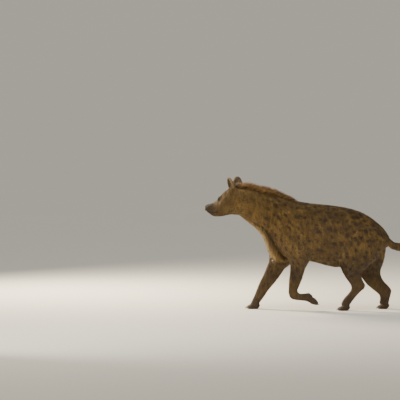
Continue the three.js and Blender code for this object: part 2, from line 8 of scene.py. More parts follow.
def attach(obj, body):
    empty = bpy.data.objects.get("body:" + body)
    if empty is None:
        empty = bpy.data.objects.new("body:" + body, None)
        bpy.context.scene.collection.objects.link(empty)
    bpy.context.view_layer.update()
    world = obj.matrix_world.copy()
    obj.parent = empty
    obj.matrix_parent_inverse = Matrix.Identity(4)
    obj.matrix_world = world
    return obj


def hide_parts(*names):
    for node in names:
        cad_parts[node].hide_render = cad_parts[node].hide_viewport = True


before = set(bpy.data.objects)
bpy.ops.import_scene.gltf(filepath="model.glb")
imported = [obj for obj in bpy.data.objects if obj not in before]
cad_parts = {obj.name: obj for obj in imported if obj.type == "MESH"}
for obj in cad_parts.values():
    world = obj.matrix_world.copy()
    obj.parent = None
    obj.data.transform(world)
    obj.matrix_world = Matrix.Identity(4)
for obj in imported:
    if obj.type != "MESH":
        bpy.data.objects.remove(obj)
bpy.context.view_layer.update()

mm = 0.001
floorShift = -160  # moves the drawing's x to the frame's, in mm
sides = {"left": -1, "right": 1}
legNames = ["foreleg_left", "foreleg_right", "hindleg_left", "hindleg_right"]


# Places
def spot(x, y, z):
    return Vector(((x + floorShift) * mm, y * mm, z * mm))


def turned(turnX=0, turnY=0, turnZ=0):
    return Matrix.Rotation(turnZ, 4, "Z") @ Matrix.Rotation(turnY, 4, "Y") @ Matrix.Rotation(turnX, 4, "X")


def placed(x, y, z, turnX=0, turnY=0, turnZ=0):
    return Matrix.Translation((x * mm, y * mm, z * mm)) @ turned(turnX, turnY, turnZ)


headPlace = Matrix.Translation(spot(-416, 0, 0)) @ turned(turnZ=math.radians(-20))


def headSpot(ahead, side, height, turnX=0, turnY=0, turnZ=0):
    return headPlace @ placed(-ahead, side, height, turnX, turnY, turnZ)


# Working steps that every piece uses
def pickOnly(piece):
    if bpy.context.object and bpy.context.object.mode != "OBJECT":
        bpy.ops.object.mode_set(mode="OBJECT")
    bpy.ops.object.select_all(action="DESELECT")
    piece.select_set(True)
    bpy.context.view_layer.objects.active = piece


def newest(name):
    piece = bpy.context.object
    piece.name = name
    piece.data.name = name
    return piece


def settle(piece, place=None):
    pickOnly(piece)
    if place is not None:
        piece.matrix_world = place @ piece.matrix_world
    bpy.context.view_layer.update()
    bpy.ops.object.transform_apply(location=True, rotation=True, scale=True)
    return piece


def addBall(name, radii, place, around=32, down=20):
    bpy.ops.object.select_all(action="DESELECT")
    bpy.ops.mesh.primitive_uv_sphere_add(segments=around, ring_count=down, radius=1)
    ball = newest(name)
    ball.scale = [r * mm for r in radii]
    settle(ball)
    return settle(ball, place)


def useModifier(piece, kind, **values):
    pickOnly(piece)
    modifier = piece.modifiers.new(kind.title(), kind)
    for key, value in values.items():
        setattr(modifier, key, value)
    bpy.ops.object.modifier_apply(modifier=modifier.name)


def cutAway(piece, tool):
    useModifier(piece, "BOOLEAN", operation="DIFFERENCE", solver="EXACT", object=tool)
    bpy.data.objects.remove(tool)


def inEditMode(piece, *steps):
    pickOnly(piece)
    bpy.ops.object.mode_set(mode="EDIT")
    bpy.ops.mesh.select_all(action="SELECT")
    for step, values in steps:
        step(**values)
    bpy.ops.object.mode_set(mode="OBJECT")


def addPiece(name, data):
    piece = bpy.data.objects.new(name, data)
    bpy.context.scene.collection.objects.link(piece)
    return piece


def shadeSmooth(piece):
    pickOnly(piece)
    bpy.ops.object.shade_smooth()
    return piece


def readAll(items, field, width, kind=np.float32):
    values = np.empty(len(items) * width, kind)
    items.foreach_get(field, values)
    return values.reshape(-1, width)


def pointsOf(piece):
    return readAll(piece.data.vertices, "co", 3)


def normalsOf(piece):
    return readAll(piece.data.vertex_normals, "vector", 3)


def surfaceOf(piece):
    return pointsOf(piece).astype(float), normalsOf(piece).astype(float)


def drawingPlaces(co):
    # the drawing's own x, y and z in mm
    return co[:, 0] / mm - floorShift, co[:, 1] / mm, co[:, 2] / mm


def movePoints(piece, co):
    piece.data.vertices.foreach_set("co", co.astype(np.float32).ravel())
    piece.data.update()


def keepLargest(piece):
    inEditMode(piece, (bpy.ops.mesh.separate, {"type": "LOOSE"}))
    islands = sorted(bpy.context.selected_objects, key=lambda island: len(island.data.vertices))
    for island in islands[:-1]:
        bpy.data.objects.remove(island)
    return islands[-1]


def lengthOf(rows):
    return np.linalg.norm(rows, axis=1)


def unit(rows):
    return rows / (lengthOf(rows)[:, None] + 1e-9)


def ramp(low, high, value):
    t = np.clip((value - low) / (high - low), 0, 1)
    return t * t * (3 - 2 * t)


def ripple(co, size, seed):
    # soft pseudo-random waves from -1 to 1, about size metres apart
    draw = np.random.default_rng(seed)
    total = np.zeros(len(co))
    for wave in range(7):
        way = draw.normal(size=3)
        way *= 2 * math.pi / (size * (0.7 + draw.random()) * np.linalg.norm(way))
        total += np.sin(co @ way + draw.random() * 6.28)
    return total / 3.2


# The lie of the coat: place, way it lies, length in mm, lift from the skin, and reach of the guide
def mirroredGuides(rows):
    for x, y, z, lie, length, lift, reach in rows:
        yield x, y, z, lie, length, lift, reach
        if y:
            yield x, -y, z, (lie[0], -lie[1], lie[2]), length, lift, reach


coatGuides = {
    "body": [
        (-400, 0, 895, (1, 0, 0.15), 27, 0.42, 60), (-250, 0, 868, (1, 0, -0.1), 29, 0.42, 70),
        (-110, 0, 822, (1, 0, -0.15), 32, 0.46, 70), (50, 0, 780, (1, 0, -0.05), 34, 0.5, 90),
        (250, 0, 757, (1, 0, -0.05), 34, 0.5, 90), (345, 0, 745, (1, 0, -0.12), 38, 0.58, 60),
        (430, 0, 715, (0.95, 0, -0.3), 34, 0.54, 70), (580, 0, 620, (0.7, 0, -0.8), 22, 0.26, 60),
        (-330, 85, 800, (0.7, 0, -0.7), 38, 0.4, 60), (-330, 65, 690, (0.55, 0, -0.8), 42, 0.42, 60),
        (-225, 100, 720, (0.6, 0, -0.8), 36, 0.36, 70), (-80, 130, 640, (0.5, 0, -0.86), 27, 0.3, 80),
        (-60, 130, 480, (0.3, 0, -0.95), 20, 0.24, 70), (70, 144, 600, (0.9, 0, -0.42), 23, 0.26, 90),
        (60, 120, 430, (0.85, 0, -0.5), 22, 0.26, 80), (250, 135, 560, (0.9, 0, -0.42), 22, 0.25, 90),
        (430, 115, 570, (0.78, 0, -0.62), 21, 0.24, 80), (590, 70, 520, (0.35, 0, -0.93), 22, 0.26, 60),
        (450, 95, 440, (0.35, 0, -0.93), 18, 0.22, 70), (320, 95, 430, (0.4, 0, -0.9), 18, 0.22, 60),
        (60, 0, 360, (1, 0, -0.1), 24, 0.3, 70), (250, 0, 320, (1, 0, 0), 22, 0.3, 80),
        (480, 0, 370, (0.9, 0, 0.25), 20, 0.25, 70), (-300, 0, 600, (0.45, 0, -0.9), 34, 0.5, 60),
        (-238, 0, 500, (0.2, 0, -1), 36, 0.5, 60), (-150, 0, 410, (0.6, 0, -0.8), 30, 0.45, 60),
        (-400, 0, 672, (0.8, 0, -0.5), 30, 0.45, 50), (620, 0, 530, (0.7, 0, -0.7), 22, 0.3, 35),
        (670, 0, 478, (0.8, 0, -0.55), 36, 0.42, 35), (740, 0, 462, (1, 0, 0), 42, 0.45, 40),
        (850, 0, 466, (1, 0, 0), 34, 0.3, 40),
    ],
    "legs": [
        (-60, -94, 400, (0.1, 0, -1), 15, 0.2, 45), (-30, -92, 320, (0, 0, -1), 20, 0.42, 40),
        (-35, -88, 230, (-0.05, 0, -1), 18, 0.46, 40), (-50, -86, 150, (0.1, 0, -1), 10, 0.26, 30),
        (0, -84, 100, (0.95, 0, -0.1), 7, 0.18, 25), (60, -84, 90, (0.7, 0, -0.7), 6, 0.16, 25),
        (110, -84, 60, (0.66, 0, -0.75), 5, 0.14, 25), (-120, 94, 400, (-0.2, 0, -1), 15, 0.2, 45),
        (-170, 92, 320, (-0.35, 0, -0.93), 16, 0.34, 40),
        (-235, 88, 215, (-0.4, 0, -0.9), 12, 0.28, 40), (-285, 86, 115, (-0.45, 0, -0.88), 8, 0.18, 30),
        (-325, 84, 45, (-0.6, 0, -0.75), 6, 0.16, 25), (-375, 84, 20, (-0.95, 0, -0.3), 5, 0.14, 25),
        (405, -88, 340, (0.2, 0, -0.97), 14, 0.2, 45), (390, -89, 260, (0.15, 0, -1), 11, 0.18, 40),
        (418, -88, 190, (0.25, 0, -0.95), 9, 0.18, 30), (385, -86, 118, (-0.5, 0, -0.85), 8, 0.18, 30),
        (345, -84, 60, (-0.5, 0, -0.85), 6, 0.16, 25), (300, -84, 20, (-0.95, 0, -0.3), 5, 0.14, 25),
        (500, 88, 330, (0.2, 0, -0.97), 14, 0.2, 45), (520, 89, 265, (0.35, 0, -0.93), 11, 0.18, 40),
        (575, 88, 185, (0.5, 0, -0.85), 9, 0.18, 35), (628, 87, 115, (0, 0, -1), 8, 0.18, 30),
        (620, 85, 60, (-0.1, 0, -1), 6, 0.16, 25), (585, 84, 20, (-0.95, 0, -0.3), 5, 0.14, 25),
    ],
    "head": [
        (-240, 0, 778, (1, 0, 0.3), 5, 0.16, 30), (-245, 46, 735, (1, 0, -0.1), 5, 0.16, 28),
        (-245, 38, 700, (1, 0, -0.25), 5, 0.2, 25), (-240, 0, 684, (1, 0, 0), 7, 0.25, 30),
        (-185, 30, 818, (0.8, 0.2, 0.6), 6, 0.16, 25), (-165, 62, 790, (1, 0, -0.15), 7, 0.16, 28),
        (-150, 0, 862, (0.85, 0, 0.5), 8, 0.18, 35), (-90, 0, 895, (1, 0, 0.2), 12, 0.25, 35),
        (-110, 90, 760, (0.9, 0, -0.35), 15, 0.24, 40), (-110, 50, 690, (0.95, 0, -0.2), 14, 0.25, 40),
        (-30, 85, 780, (0.75, 0, -0.65), 28, 0.34, 45), (-35, 70, 860, (0.9, 0, -0.3), 16, 0.25, 30),
        (-60, 75, 930, (0, 0.2, 1), 7, 0.14, 30),
    ],
}


def guideTable():
    places, lies, lengths, lifts, reaches = [], [], [], [], []
    rows = [(row, False) for row in mirroredGuides(coatGuides["body"])]
    rows += [(row, False) for row in coatGuides["legs"]]
    rows += [(row, True) for row in mirroredGuides(coatGuides["head"])]
    for (x, y, z, lie, length, lift, reach), onHead in rows:
        place = headPlace @ (Vector((x, y, z)) * mm) if onHead else spot(x, y, z)
        way = headPlace.to_3x3() @ Vector(lie) if onHead else Vector(lie)
        places.append(place[:])
        lies.append(way.normalized()[:])
        lengths.append(length * mm)
        lifts.append(lift)
        reaches.append(reach * mm)
    return [np.array(column) for column in (places, lies, lengths, lifts, reaches)]


guides = guideTable()
batch = 30000  # points combed at once


def combed(co):
    places, lies, lengths, lifts, reaches = guides
    lie, length, lift = np.zeros((len(co), 3)), np.zeros(len(co)), np.zeros(len(co))
    for start in range(0, len(co), batch):
        part = slice(start, start + batch)
        power = -((co[part][:, None, :] - places[None]) ** 2).sum(2) / (2 * reaches[None] ** 2)
        weight = np.exp(power - power.max(1, keepdims=True))
        weight /= weight.sum(1, keepdims=True)
        lie[part], length[part], lift[part] = weight @ lies, weight @ lengths, weight @ lifts
    return lie, length, lift


# Skin: one surface from the model's flesh, smoothed and drawn in by the depth of the coat
skinValues = {
    "nodes": ["torso", "neck", "head", "nose", "tail_base", *legNames, *("paw_" + leg for leg in legNames)],
    "roughVoxel": 0.0045,
    "fineVoxel": 0.0033,
    "smoothing": 14,
    "neckSmoothing": 26,
    "coatDepth": 0.26,  # share of the coat's length
    "deepest": (8, 3.5),  # on the body and on the tail, in mm
    "legDepth": 0.4,  # share of that on the lower legs
    "fuller": 0.0004,
    "aboveFloor": 0.0004,
    "faces": 150000,
}


def uniteAll(name, forms):
    whole = forms[0]
    for form in forms[1:]:
        useModifier(whole, "BOOLEAN", operation="UNION", solver="MANIFOLD", object=form)
        bpy.data.objects.remove(form)
    whole.name = name
    return whole


def fleshOf(node):
    # a merged copy of the model's node, a little fuller so that it meets its neighbours
    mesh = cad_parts[node].data.copy()
    mesh.materials.clear()
    flesh = addPiece("flesh_" + node, mesh)
    merge = (bpy.ops.mesh.remove_doubles, {"threshold": 1e-5})
    inEditMode(flesh, merge, (bpy.ops.transform.shrink_fatten, {"value": skinValues["fuller"]}))
    return flesh


# Head: upper and lower edge and half width of the skull at each distance ahead of the neck, in mm
headValues = {
    "rows": [
        (287, 755, 734, 23), (280, 763, 719, 33), (260, 770, 701, 44), (228, 781, 680, 48),
        (200, 799, 677, 52), (171, 834, 678, 63), (136, 866, 685, 80), (93, 889, 693, 90),
        (47, 902, 692, 91), (4, 893, 696, 92), (-40, 872, 716, 76),
    ],
    "fullness": 2.35,
    "pear": -0.14,
    "cheek": ((66, 30, 62), (102, 61, 766), (0.12, 0.1)),
    "brow": ((30, 12, 11), (164, 40, 820), (-0.5, 0.62)),
    "lip": ((42, 14, 22), (246, 32, 729), (0.12, -0.08)),
    "earMound": ((42, 34, 42), (60, 52, 864), (0.2, 0)),
    "noseRoot": ((22, 24, 18), (272, 0, 746)),
}


def throughPoints(values, share):
    values = np.array(values, float)
    n = len(values) - 1
    place = np.clip(share * n, 0, n - 1e-6)
    i = place.astype(int)
    f = place - i
    p = [values[np.clip(i + k, 0, n)] for k in (-1, 0, 1, 2)]
    square = 2 * p[0] - 5 * p[1] + 4 * p[2] - p[3]
    cube = 3 * p[1] - p[0] - 3 * p[2] + p[3]
    return 0.5 * (2 * p[1] + (p[2] - p[0]) * f + square * f ** 2 + cube * f ** 3)


def makeSkull(name):
    # a ball whose rings are laid along the rows, facing the way the head looks
    skull = addBall(name, (1000, 1000, 1000), Matrix(), 56, 72)
    co = pointsOf(skull).astype(float)
    share = 0.5 + np.arcsin(np.clip(co[:, 2], -1, 1)) / math.pi
    angle = np.arctan2(co[:, 1], co[:, 0])
    columns = zip(*headValues["rows"])
    ahead, top, bottom, half = (throughPoints(column, share) for column in columns)
    power = 2 / headValues["fullness"]
    rise = np.sign(np.sin(angle)) * np.abs(np.sin(angle)) ** power
    reach = np.sign(np.cos(angle)) * np.abs(np.cos(angle)) ** power
    offPole = (lengthOf(co[:, :2]) > 1e-6) * 1.0
    y = offPole * reach * half * (1 + headValues["pear"] * rise)
    z = (top + bottom) / 2 + offPole * rise * (top - bottom) / 2
    movePoints(skull, toWorld(headPlace, np.stack([-ahead, y, z], 1)))
    inEditMode(skull, (bpy.ops.mesh.normals_make_consistent, {"inside": False}))
    return skull


def headForms():
    forms = [makeSkull("skull")]
    for side in sides.values():
        for name in ("cheek", "brow", "lip", "earMound"):
            radii, (ahead, out, height), (turnY, turnZ) = headValues[name]
            forms.append(addBall(name, radii, headSpot(ahead, side * out, height, 0, turnY, side * turnZ)))
        lids = eyeValues["radius"] + eyeValues["mound"]
        forms.append(addBall("lids", (lids, lids, lids), eyeFrame(side)))
    radii, place = headValues["noseRoot"]
    return forms + [addBall("noseRoot", radii, headSpot(*place))]


# Paws: a pad and knuckles and four toes; the toes point to -X from each paw's own place
pawValues = {
    "toes": (-27, -9.5, 9.5, 27),
    "foreleg_left": (placed(84 + floorShift, -84, 107, 0, math.radians(-134), 0), 73, 1, (34, 11.5, 21)),
    "foreleg_right": (placed(-328 + floorShift, 84, 0), 62, 1, (30, 11, 17.5)),
    "hindleg_left": (placed(328 + floorShift, -84, 0), 58, 0.95, (30, 11, 17.5)),
    "hindleg_right": (placed(622 + floorShift, 84, 0), 56, 0.95, (30, 11, 17.5)),
}


def toeReach(offset, length):
    return length - 11 if abs(offset) > 15 else length


def pawForms():
    forms = []
    for leg in legNames:
        place, length, scale, toe = pawValues[leg]
        rows = [((35, 34, 27.5), (3, 0, 26), 0, 0)]
        for offset in pawValues["toes"]:
            reach = toeReach(offset, length)
            rows.append((toe, (29 - reach, offset * 1.02, 15.5), -0.2, offset * -0.006))
            rows.append(((13, 10.2, 11), (14 - reach, offset * 1.05, 17.5), -0.3, offset * -0.006))
            if leg == "foreleg_left":
                rows.append(((12, 8.5, 8), (18 - reach, offset * 1.02, 7), 0, 0))
        if leg == "foreleg_left":
            rows += [((20, 24, 12), (4, 0, 6), 0, 0), ((30, 29, 20), (-26, 0, 25), 0.12, 0)]
        for radii, (x, y, z), turnY, turnZ in rows:
            spotOn = place @ placed(x * scale, y * scale, z * scale, 0, turnY, turnZ)
            forms.append(addBall("pawForm", [r * scale for r in radii], spotOn, 24, 16))
    return forms


# Dock: the tail's core inside the brush
dockValues = {"start": (742, 0, 463), "end": (936, 0, 465), "radii": (0.0215, 0.008), "overlap": 0.02}


def makeDock():
    start, end = spot(*dockValues["start"]), spot(*dockValues["end"])
    wide, thin = dockValues["radii"]
    long = (end - start).length + dockValues["overlap"]
    bpy.ops.object.select_all(action="DESELECT")
    bpy.ops.mesh.primitive_cone_add(vertices=32, radius1=wide, radius2=thin, depth=long)
    way = (end - start).to_track_quat("Z", "Y").to_matrix().to_4x4()
    return settle(newest("dock"), Matrix.Translation((start + end) / 2) @ way)


def startSkin():
    forms = [fleshOf(node) for node in skinValues["nodes"]] + [makeDock()] + headForms() + pawForms()
    skin = uniteAll("skin", forms)
    useModifier(skin, "REMESH", mode="VOXEL", voxel_size=skinValues["roughVoxel"])
    return keepLargest(skin)


def smoothBy(skin, strength, rounds):
    group = skin.vertex_groups.new(name="soft")
    steps = 20
    levels = np.round(strength * steps).astype(int)
    for level in np.unique(levels):
        group.add(np.nonzero(levels == level)[0].tolist(), level / steps, "REPLACE")
    useModifier(skin, "SMOOTH", factor=0.6, iterations=rounds, vertex_group="soft")
    skin.vertex_groups.clear()


def softenSkin(skin):
    co = pointsOf(skin)
    x, y, z = drawingPlaces(co)
    ahead = -toLocal(headPlace, co)[:, 0]
    body = ramp(300, 400, z) * ramp(108, 58, ahead) * ramp(660, 610, x)
    legs = ramp(60, 160, z) * 0.4 * ramp(660, 610, x)
    strength = np.maximum.reduce([body, legs, np.full(len(co), 0.13)])
    smoothBy(skin, strength, skinValues["smoothing"])
    behindHead = ramp(-75, -30, ahead) * ramp(80, 40, ahead)
    smoothBy(skin, behindHead, skinValues["neckSmoothing"])
    co = pointsOf(skin)
    x, y, z = drawingPlaces(co)
    onFloor = 1 - ramp(0.003, 0.012, co[:, 2])
    deepest = np.interp(x, [600, 660], skinValues["deepest"]) * mm
    depth = np.minimum(combed(co)[1] * skinValues["coatDepth"], deepest) * (1 - onFloor)
    depth *= np.interp(z, [260, 380], [skinValues["legDepth"], 1])
    co = co - normalsOf(skin) * depth[:, None]
    co[:, 2] = np.maximum(co[:, 2], skinValues["aboveFloor"])
    movePoints(skin, co)


# Ears: thick-walled cups on a broad root, opening forward and outward
earValues = {
    "ahead": 66, "side": 64, "height": 880, "turn": 38,
    "tall": 92, "wide": 75, "deep": 40, "wall": 5.5,
    "middle": 0.44, "half": 0.56,  # shares of its height
    "hollow": (8, -12, 6),  # deeper, forward, higher
    "opening": ((0.04, 0.12, 0.22), -34, 0.12),
    "root": ((18, 27, 32), (9, 0, 2)),
}


def earFrame(side):
    lean = turned(turnZ=math.radians(side * -earValues["turn"])) @ turned(turnX=side * -0.2, turnY=-0.3)
    return headSpot(earValues["ahead"], side * earValues["side"], earValues["height"]) @ lean


def makeEar(name, side):
    ear = earValues
    middle = ear["tall"] * ear["middle"]
    outer = (ear["deep"] / 2, ear["wide"] / 2, ear["tall"] * ear["half"])
    cup = addBall(name, outer, placed(0, 0, middle), 48, 32)
    deeper, forward, higher = ear["hollow"]
    inner = (outer[0] + deeper, outer[1] - ear["wall"], outer[2] - ear["wall"])
    cutAway(cup, addBall("hollow", inner, placed(forward - ear["wall"], 0, middle + higher), 48, 32))
    size, forward, lean = ear["opening"]
    bpy.ops.mesh.primitive_cube_add(size=1, scale=size)
    cutAway(cup, settle(newest("block"), placed(forward, 0, middle, 0, lean, 0)))
    radii, place = ear["root"]
    root = addBall("earRoot", radii, placed(*place), 24, 16)
    return settle(uniteAll(name, [cup, root]), earFrame(side))


# Eyes, and the lids round them
eyeValues = {
    "ahead": 169, "side": 41, "height": 806, "radius": 12.5, "outward": 50,
    "halfLong": 11.5, "halfHigh": 5.6, "lid": 1.9, "rim": 0.8, "sunk": 3, "bulge": 1.1, "mound": 3.2,
}


def eyeFrame(side):
    turn = math.radians(side * -eyeValues["outward"])
    return headSpot(eyeValues["ahead"], side * eyeValues["side"], eyeValues["height"], 0, 0, turn)


def makeEye(name, side):
    radius = eyeValues["radius"]
    eye = addBall(name, (radius, radius, radius), eyeFrame(side) @ turned(turnY=-math.pi / 2), 48, 32)
    co = pointsOf(eye)
    local = np.array([eyeFrame(side).inverted() @ Vector(p) for p in co]) / mm
    bulge = eyeValues["bulge"] * ramp(0.72, 0.97, -local[:, 0] / radius)
    outward = co - np.array(eyeFrame(side).translation)
    movePoints(eye, co + outward / radius * bulge[:, None])
    return shadeSmooth(eye)


def toLocal(matrix, co):
    inverse = matrix.inverted()
    return (co @ np.array(inverse.to_3x3()).T + np.array(inverse.translation)) / mm


def toWorld(matrix, local):
    return local * mm @ np.array(matrix.to_3x3()).T + np.array(matrix.translation)


def subdivideNear(piece, chosen):
    pickOnly(piece)
    mesh = piece.data
    loops = readAll(mesh.loops, "vertex_index", 1, np.int32)[:, 0]
    starts = readAll(mesh.polygons, "loop_start", 1, np.int32)[:, 0]
    for items in (mesh.vertices, mesh.edges):
        items.foreach_set("select", np.zeros(len(items), bool))
    mesh.polygons.foreach_set("select", np.logical_or.reduceat(chosen[loops], starts))
    bpy.ops.object.mode_set(mode="EDIT")
    bpy.ops.mesh.select_mode(type="FACE")
    bpy.ops.mesh.subdivide(number_cuts=1)
    bpy.ops.object.mode_set(mode="OBJECT")


def shapeLids(skin):
    for side in sides.values():
        place = eyeFrame(side)
        for reach in (30, 22):
            subdivideNear(skin, lengthOf(toLocal(place, pointsOf(skin))) < reach)
        co = pointsOf(skin)
        local = toLocal(place, co)
        near = (lengthOf(local) < 26) & (local[:, 0] < 4)
        p = local[near]
        r = lengthOf(p)
        along, up = p[:, 1], p[:, 2] + 0.02 * p[:, 1] ** 2 - 0.6
        arch = np.clip(1 - (along / eyeValues["halfLong"]) ** 2, -1.5, 1)
        opening = eyeValues["halfHigh"] * arch - np.abs(up)
        inside = ramp(-0.3, 0.9, opening) * (p[:, 0] < -2)
        lidRadius = eyeValues["radius"] + eyeValues["lid"]
        rim = np.exp(-((opening + 0.9) / 1.5) ** 2) * eyeValues["rim"]
        shell = np.maximum(r, lidRadius) + rim
        fade = 1 - ramp(17, 24, r)
        target = shell * (1 - inside) + (eyeValues["radius"] - eyeValues["sunk"]) * inside
        local[near] = p / r[:, None] * (r + (target - r) * fade)[:, None]
        movePoints(skin, toWorld(place, local))


# Line of the mouth and the folds of the lips
mouthValues = {
    "line": [(-300, 721), (-281, 720), (-262, 716), (-240, 711), (-218, 708), (-198, 711), (-180, 718)],
    "width": 2.0, "depth": 3.4, "fold": 6, "foldWidth": 4.5, "swell": 0.9,
}


def mouthDistance(local):
    line = np.array(mouthValues["line"], float)
    best = np.full(len(local), 99.0)
    share = np.zeros(len(local))
    p = local[:, [0, 2]]
    for i in range(len(line) - 1):
        a, b = line[i], line[i + 1]
        t = np.clip(((p - a) @ (b - a)) / ((b - a) @ (b - a)), 0, 1)
        d = lengthOf(p - (a + t[:, None] * (b - a)))
        share = np.where(d < best, (i + t) / (len(line) - 1), share)
        best = np.minimum(best, d)
    return best, share


def shapeMouth(skin):
    local = toLocal(headPlace, pointsOf(skin))
    subdivideNear(skin, (mouthDistance(local)[0] < 8) & (np.abs(local[:, 1]) > 10))
    co = pointsOf(skin)
    local = toLocal(headPlace, co)
    d, share = mouthDistance(local)
    groove = np.exp(-(d / mouthValues["width"]) ** 2) * ramp(1.0, 0.9, share)
    swell = np.exp(-((d - mouthValues["fold"]) / mouthValues["foldWidth"]) ** 2) * mouthValues["swell"]
    swell *= ramp(1.0, 0.8, share)
    facing = ramp(12, 24, np.abs(local[:, 1])) + (local[:, 0] < -270)
    push = (swell - groove * mouthValues["depth"]) * np.clip(facing, 0, 1) * (np.abs(local[:, 1]) < 70)
    movePoints(skin, co + normalsOf(skin) * (push * mm)[:, None])


def reachInBall(local, radii, centre):
    # 0 at the ball's centre, 1 on its surface
    return lengthOf((local - np.array(centre)) / np.array(radii))


def reachInNose(local):
    reaches = []
    for radii, (ahead, height) in (noseValues["pad"], noseValues["lower"]):
        reaches.append(reachInBall(local, radii, (-ahead, 0, height)))
    return np.minimum(*reaches)


def sinkUnderNose(skin):
    local = toLocal(headPlace, pointsOf(skin))
    sink = ramp(0.97, 0.8, reachInNose(local))
    local[:, 0] += 11 * sink
    local[:, 1] *= 1 - 0.22 * sink
    local[:, 2] -= 5 * sink * ramp(735, 750, local[:, 2])
    movePoints(skin, toWorld(headPlace, local))


def makeSkin():
    skin = startSkin()
    softenSkin(skin)
    ears = [makeEar("ear_" + name, side) for name, side in sides.items()]
    skin = uniteAll("skin", [skin] + ears)
    useModifier(skin, "REMESH", mode="VOXEL", voxel_size=skinValues["fineVoxel"])
    skin = keepLargest(skin)
    skin.name = "skin"
    useModifier(skin, "SMOOTH", factor=0.5, iterations=2)
    co = pointsOf(skin)
    fine = (toLocal(headPlace, co)[:, 0] < -20) | (co[:, 2] < 0.09)
    group = skin.vertex_groups.new(name="coarse")
    group.add(np.nonzero(~fine)[0].tolist(), 1, "REPLACE")
    group.add(np.nonzero(fine)[0].tolist(), 0.25, "REPLACE")
    ratio = skinValues["faces"] / (2 * len(skin.data.polygons))
    useModifier(skin, "DECIMATE", ratio=ratio, vertex_group="coarse", use_collapse_triangulate=True)
    skin.vertex_groups.clear()
    shapeLids(skin)
    shapeMouth(skin)
    sinkUnderNose(skin)
    return shadeSmooth(skin)


# Markings, the same on skin and coat: spots, dark parts, pale parts and the gold of the mane; some are
# painted shade and light
mostTries = 26000
markValues = {
    "bold": {"gap": 0.037, "smallest": 0.0085, "largest": 0.0175, "strength": 1.0, "seed": 17},
    "faint": {"gap": 0.022, "smallest": 0.0035, "largest": 0.0075, "strength": 0.5, "seed": 18},
}


def spotWeight(co):
    x, y, z = drawingPlaces(co)
    onBody = ramp(-360, -140, x) * ramp(200, 330, z)
    return onBody * (1 - ramp(650, 700, x))


def placeSpots(co, normals):
    rows = []
    weight = spotWeight(co)
    for values in markValues.values():
        draw = np.random.default_rng(values["seed"])
        chosen = []
        taken = np.zeros((0, 3))
        for i in draw.permutation(len(co))[:mostTries]:
            gap = values["gap"] * (0.72 + 0.6 * draw.random())
            if weight[i] < 0.1 + 0.45 * draw.random() or abs(normals[i, 2]) > 0.97 and co[i, 2] < 0.5:
                continue
            if len(taken) and np.min(((taken - co[i]) ** 2).sum(1)) < gap ** 2:
                continue
            chosen.append(i)
            taken = co[chosen]
        size = draw.random(len(chosen)) ** 1.3
        radius = values["smallest"] + (values["largest"] - values["smallest"]) * size
        x = drawingPlaces(taken)[0]
        radius *= 0.7 + 0.38 * ramp(-150, 250, x)
        stretch = draw.uniform(-0.3, 0.9, len(chosen)) + 0.9 * ramp(60, -120, x)
        strength = values["strength"] * draw.uniform(0.7, 1, len(chosen))
        rows += list(zip(taken, radius, combed(taken)[0], stretch, strength))
    return rows


def spotMask(co, spots):
    wobble = 1 + 0.34 * ripple(co, 0.02, 5) + 0.2 * ripple(co, 0.009, 6)
    order = np.argsort(co[:, 0])
    co, wobble = co[order], wobble[order]
    found = np.zeros(len(co))
    for centre, radius, lie, stretch, strength in spots:
        reach = radius * (1.6 + max(stretch, 0) * 1.6)
        near = slice(*np.searchsorted(co[:, 0], [centre[0] - reach, centre[0] + reach]))
        offset = co[near] - centre
        squared = (offset ** 2).sum(1) - (1 - 1 / (1 + stretch) ** 2) * (offset @ lie) ** 2
        nearness = 1 - np.sqrt(np.maximum(squared, 0)) / (radius * wobble[near])
        found[near] = np.maximum(found[near], strength * ramp(-0.2, 0.4, nearness))
    mask = np.empty(len(co))
    mask[order] = found * ramp(0.02, 0.4, spotWeight(co) + 0.05)
    return mask


def padMask(co):
    # soles of the toes and of the heel on the lifted paw, from 0 to 1
    place, length = pawValues["foreleg_left"][:2]
    local = toLocal(place, co)
    rows = [((22, 26, 15), (4, 0, 5))]
    for offset in pawValues["toes"]:
        rows.append(((14, 10, 11), (18 - toeReach(offset, length), offset * 1.02, 5)))
    mask = np.zeros(len(co))
    for radii, centre in rows:
        mask = np.maximum(mask, ramp(1.04, 0.94, reachInBall(local, radii, centre)))
    return mask * ramp(9, 4, local[:, 2])


def earShadeAndRimLight(co):
    # dark inside and behind the ears as painted shade, and pale along their rims as painted rim light
    dark, rim = np.zeros(len(co)), np.zeros(len(co))
    for side in sides.values():
        local = toLocal(earFrame(side), co)
        up = (local[:, 2] / earValues["tall"] - earValues["middle"]) / earValues["half"]
        reach = np.hypot(local[:, 1] / (earValues["wide"] / 2), up)
        onEar = ramp(0, 24, local[:, 2]) * (np.abs(local[:, 0]) < 34) * (reach < 1.3)
        dark = np.maximum(dark, onEar * ramp(0.98, 0.84, reach))
        rim = np.maximum(rim, onEar * ramp(0.86, 0.98, reach))
    return dark, rim


# face and ear are painted shade, bridge and legs partly painted shade; the other dark parts are the coat's
# own
darkShares = {
    "muzzle": 0.85, "lips": 1, "eyes": 0.85, "bridgeAndTopShade": 0.75, "face": 0.28,
    "ear": 0.68, "legs": 0.52, "feet": 0.85, "brush": 1, "pads": 1,
}
# the rim share is painted rim light along the ear edges
paleShares = {"chest": 0.75, "belly": 0.25, "rim": 0.55}


def strongest(parts, shares):
    return np.clip(np.maximum.reduce([parts[part] * share for part, share in shares.items()]), 0, 1)


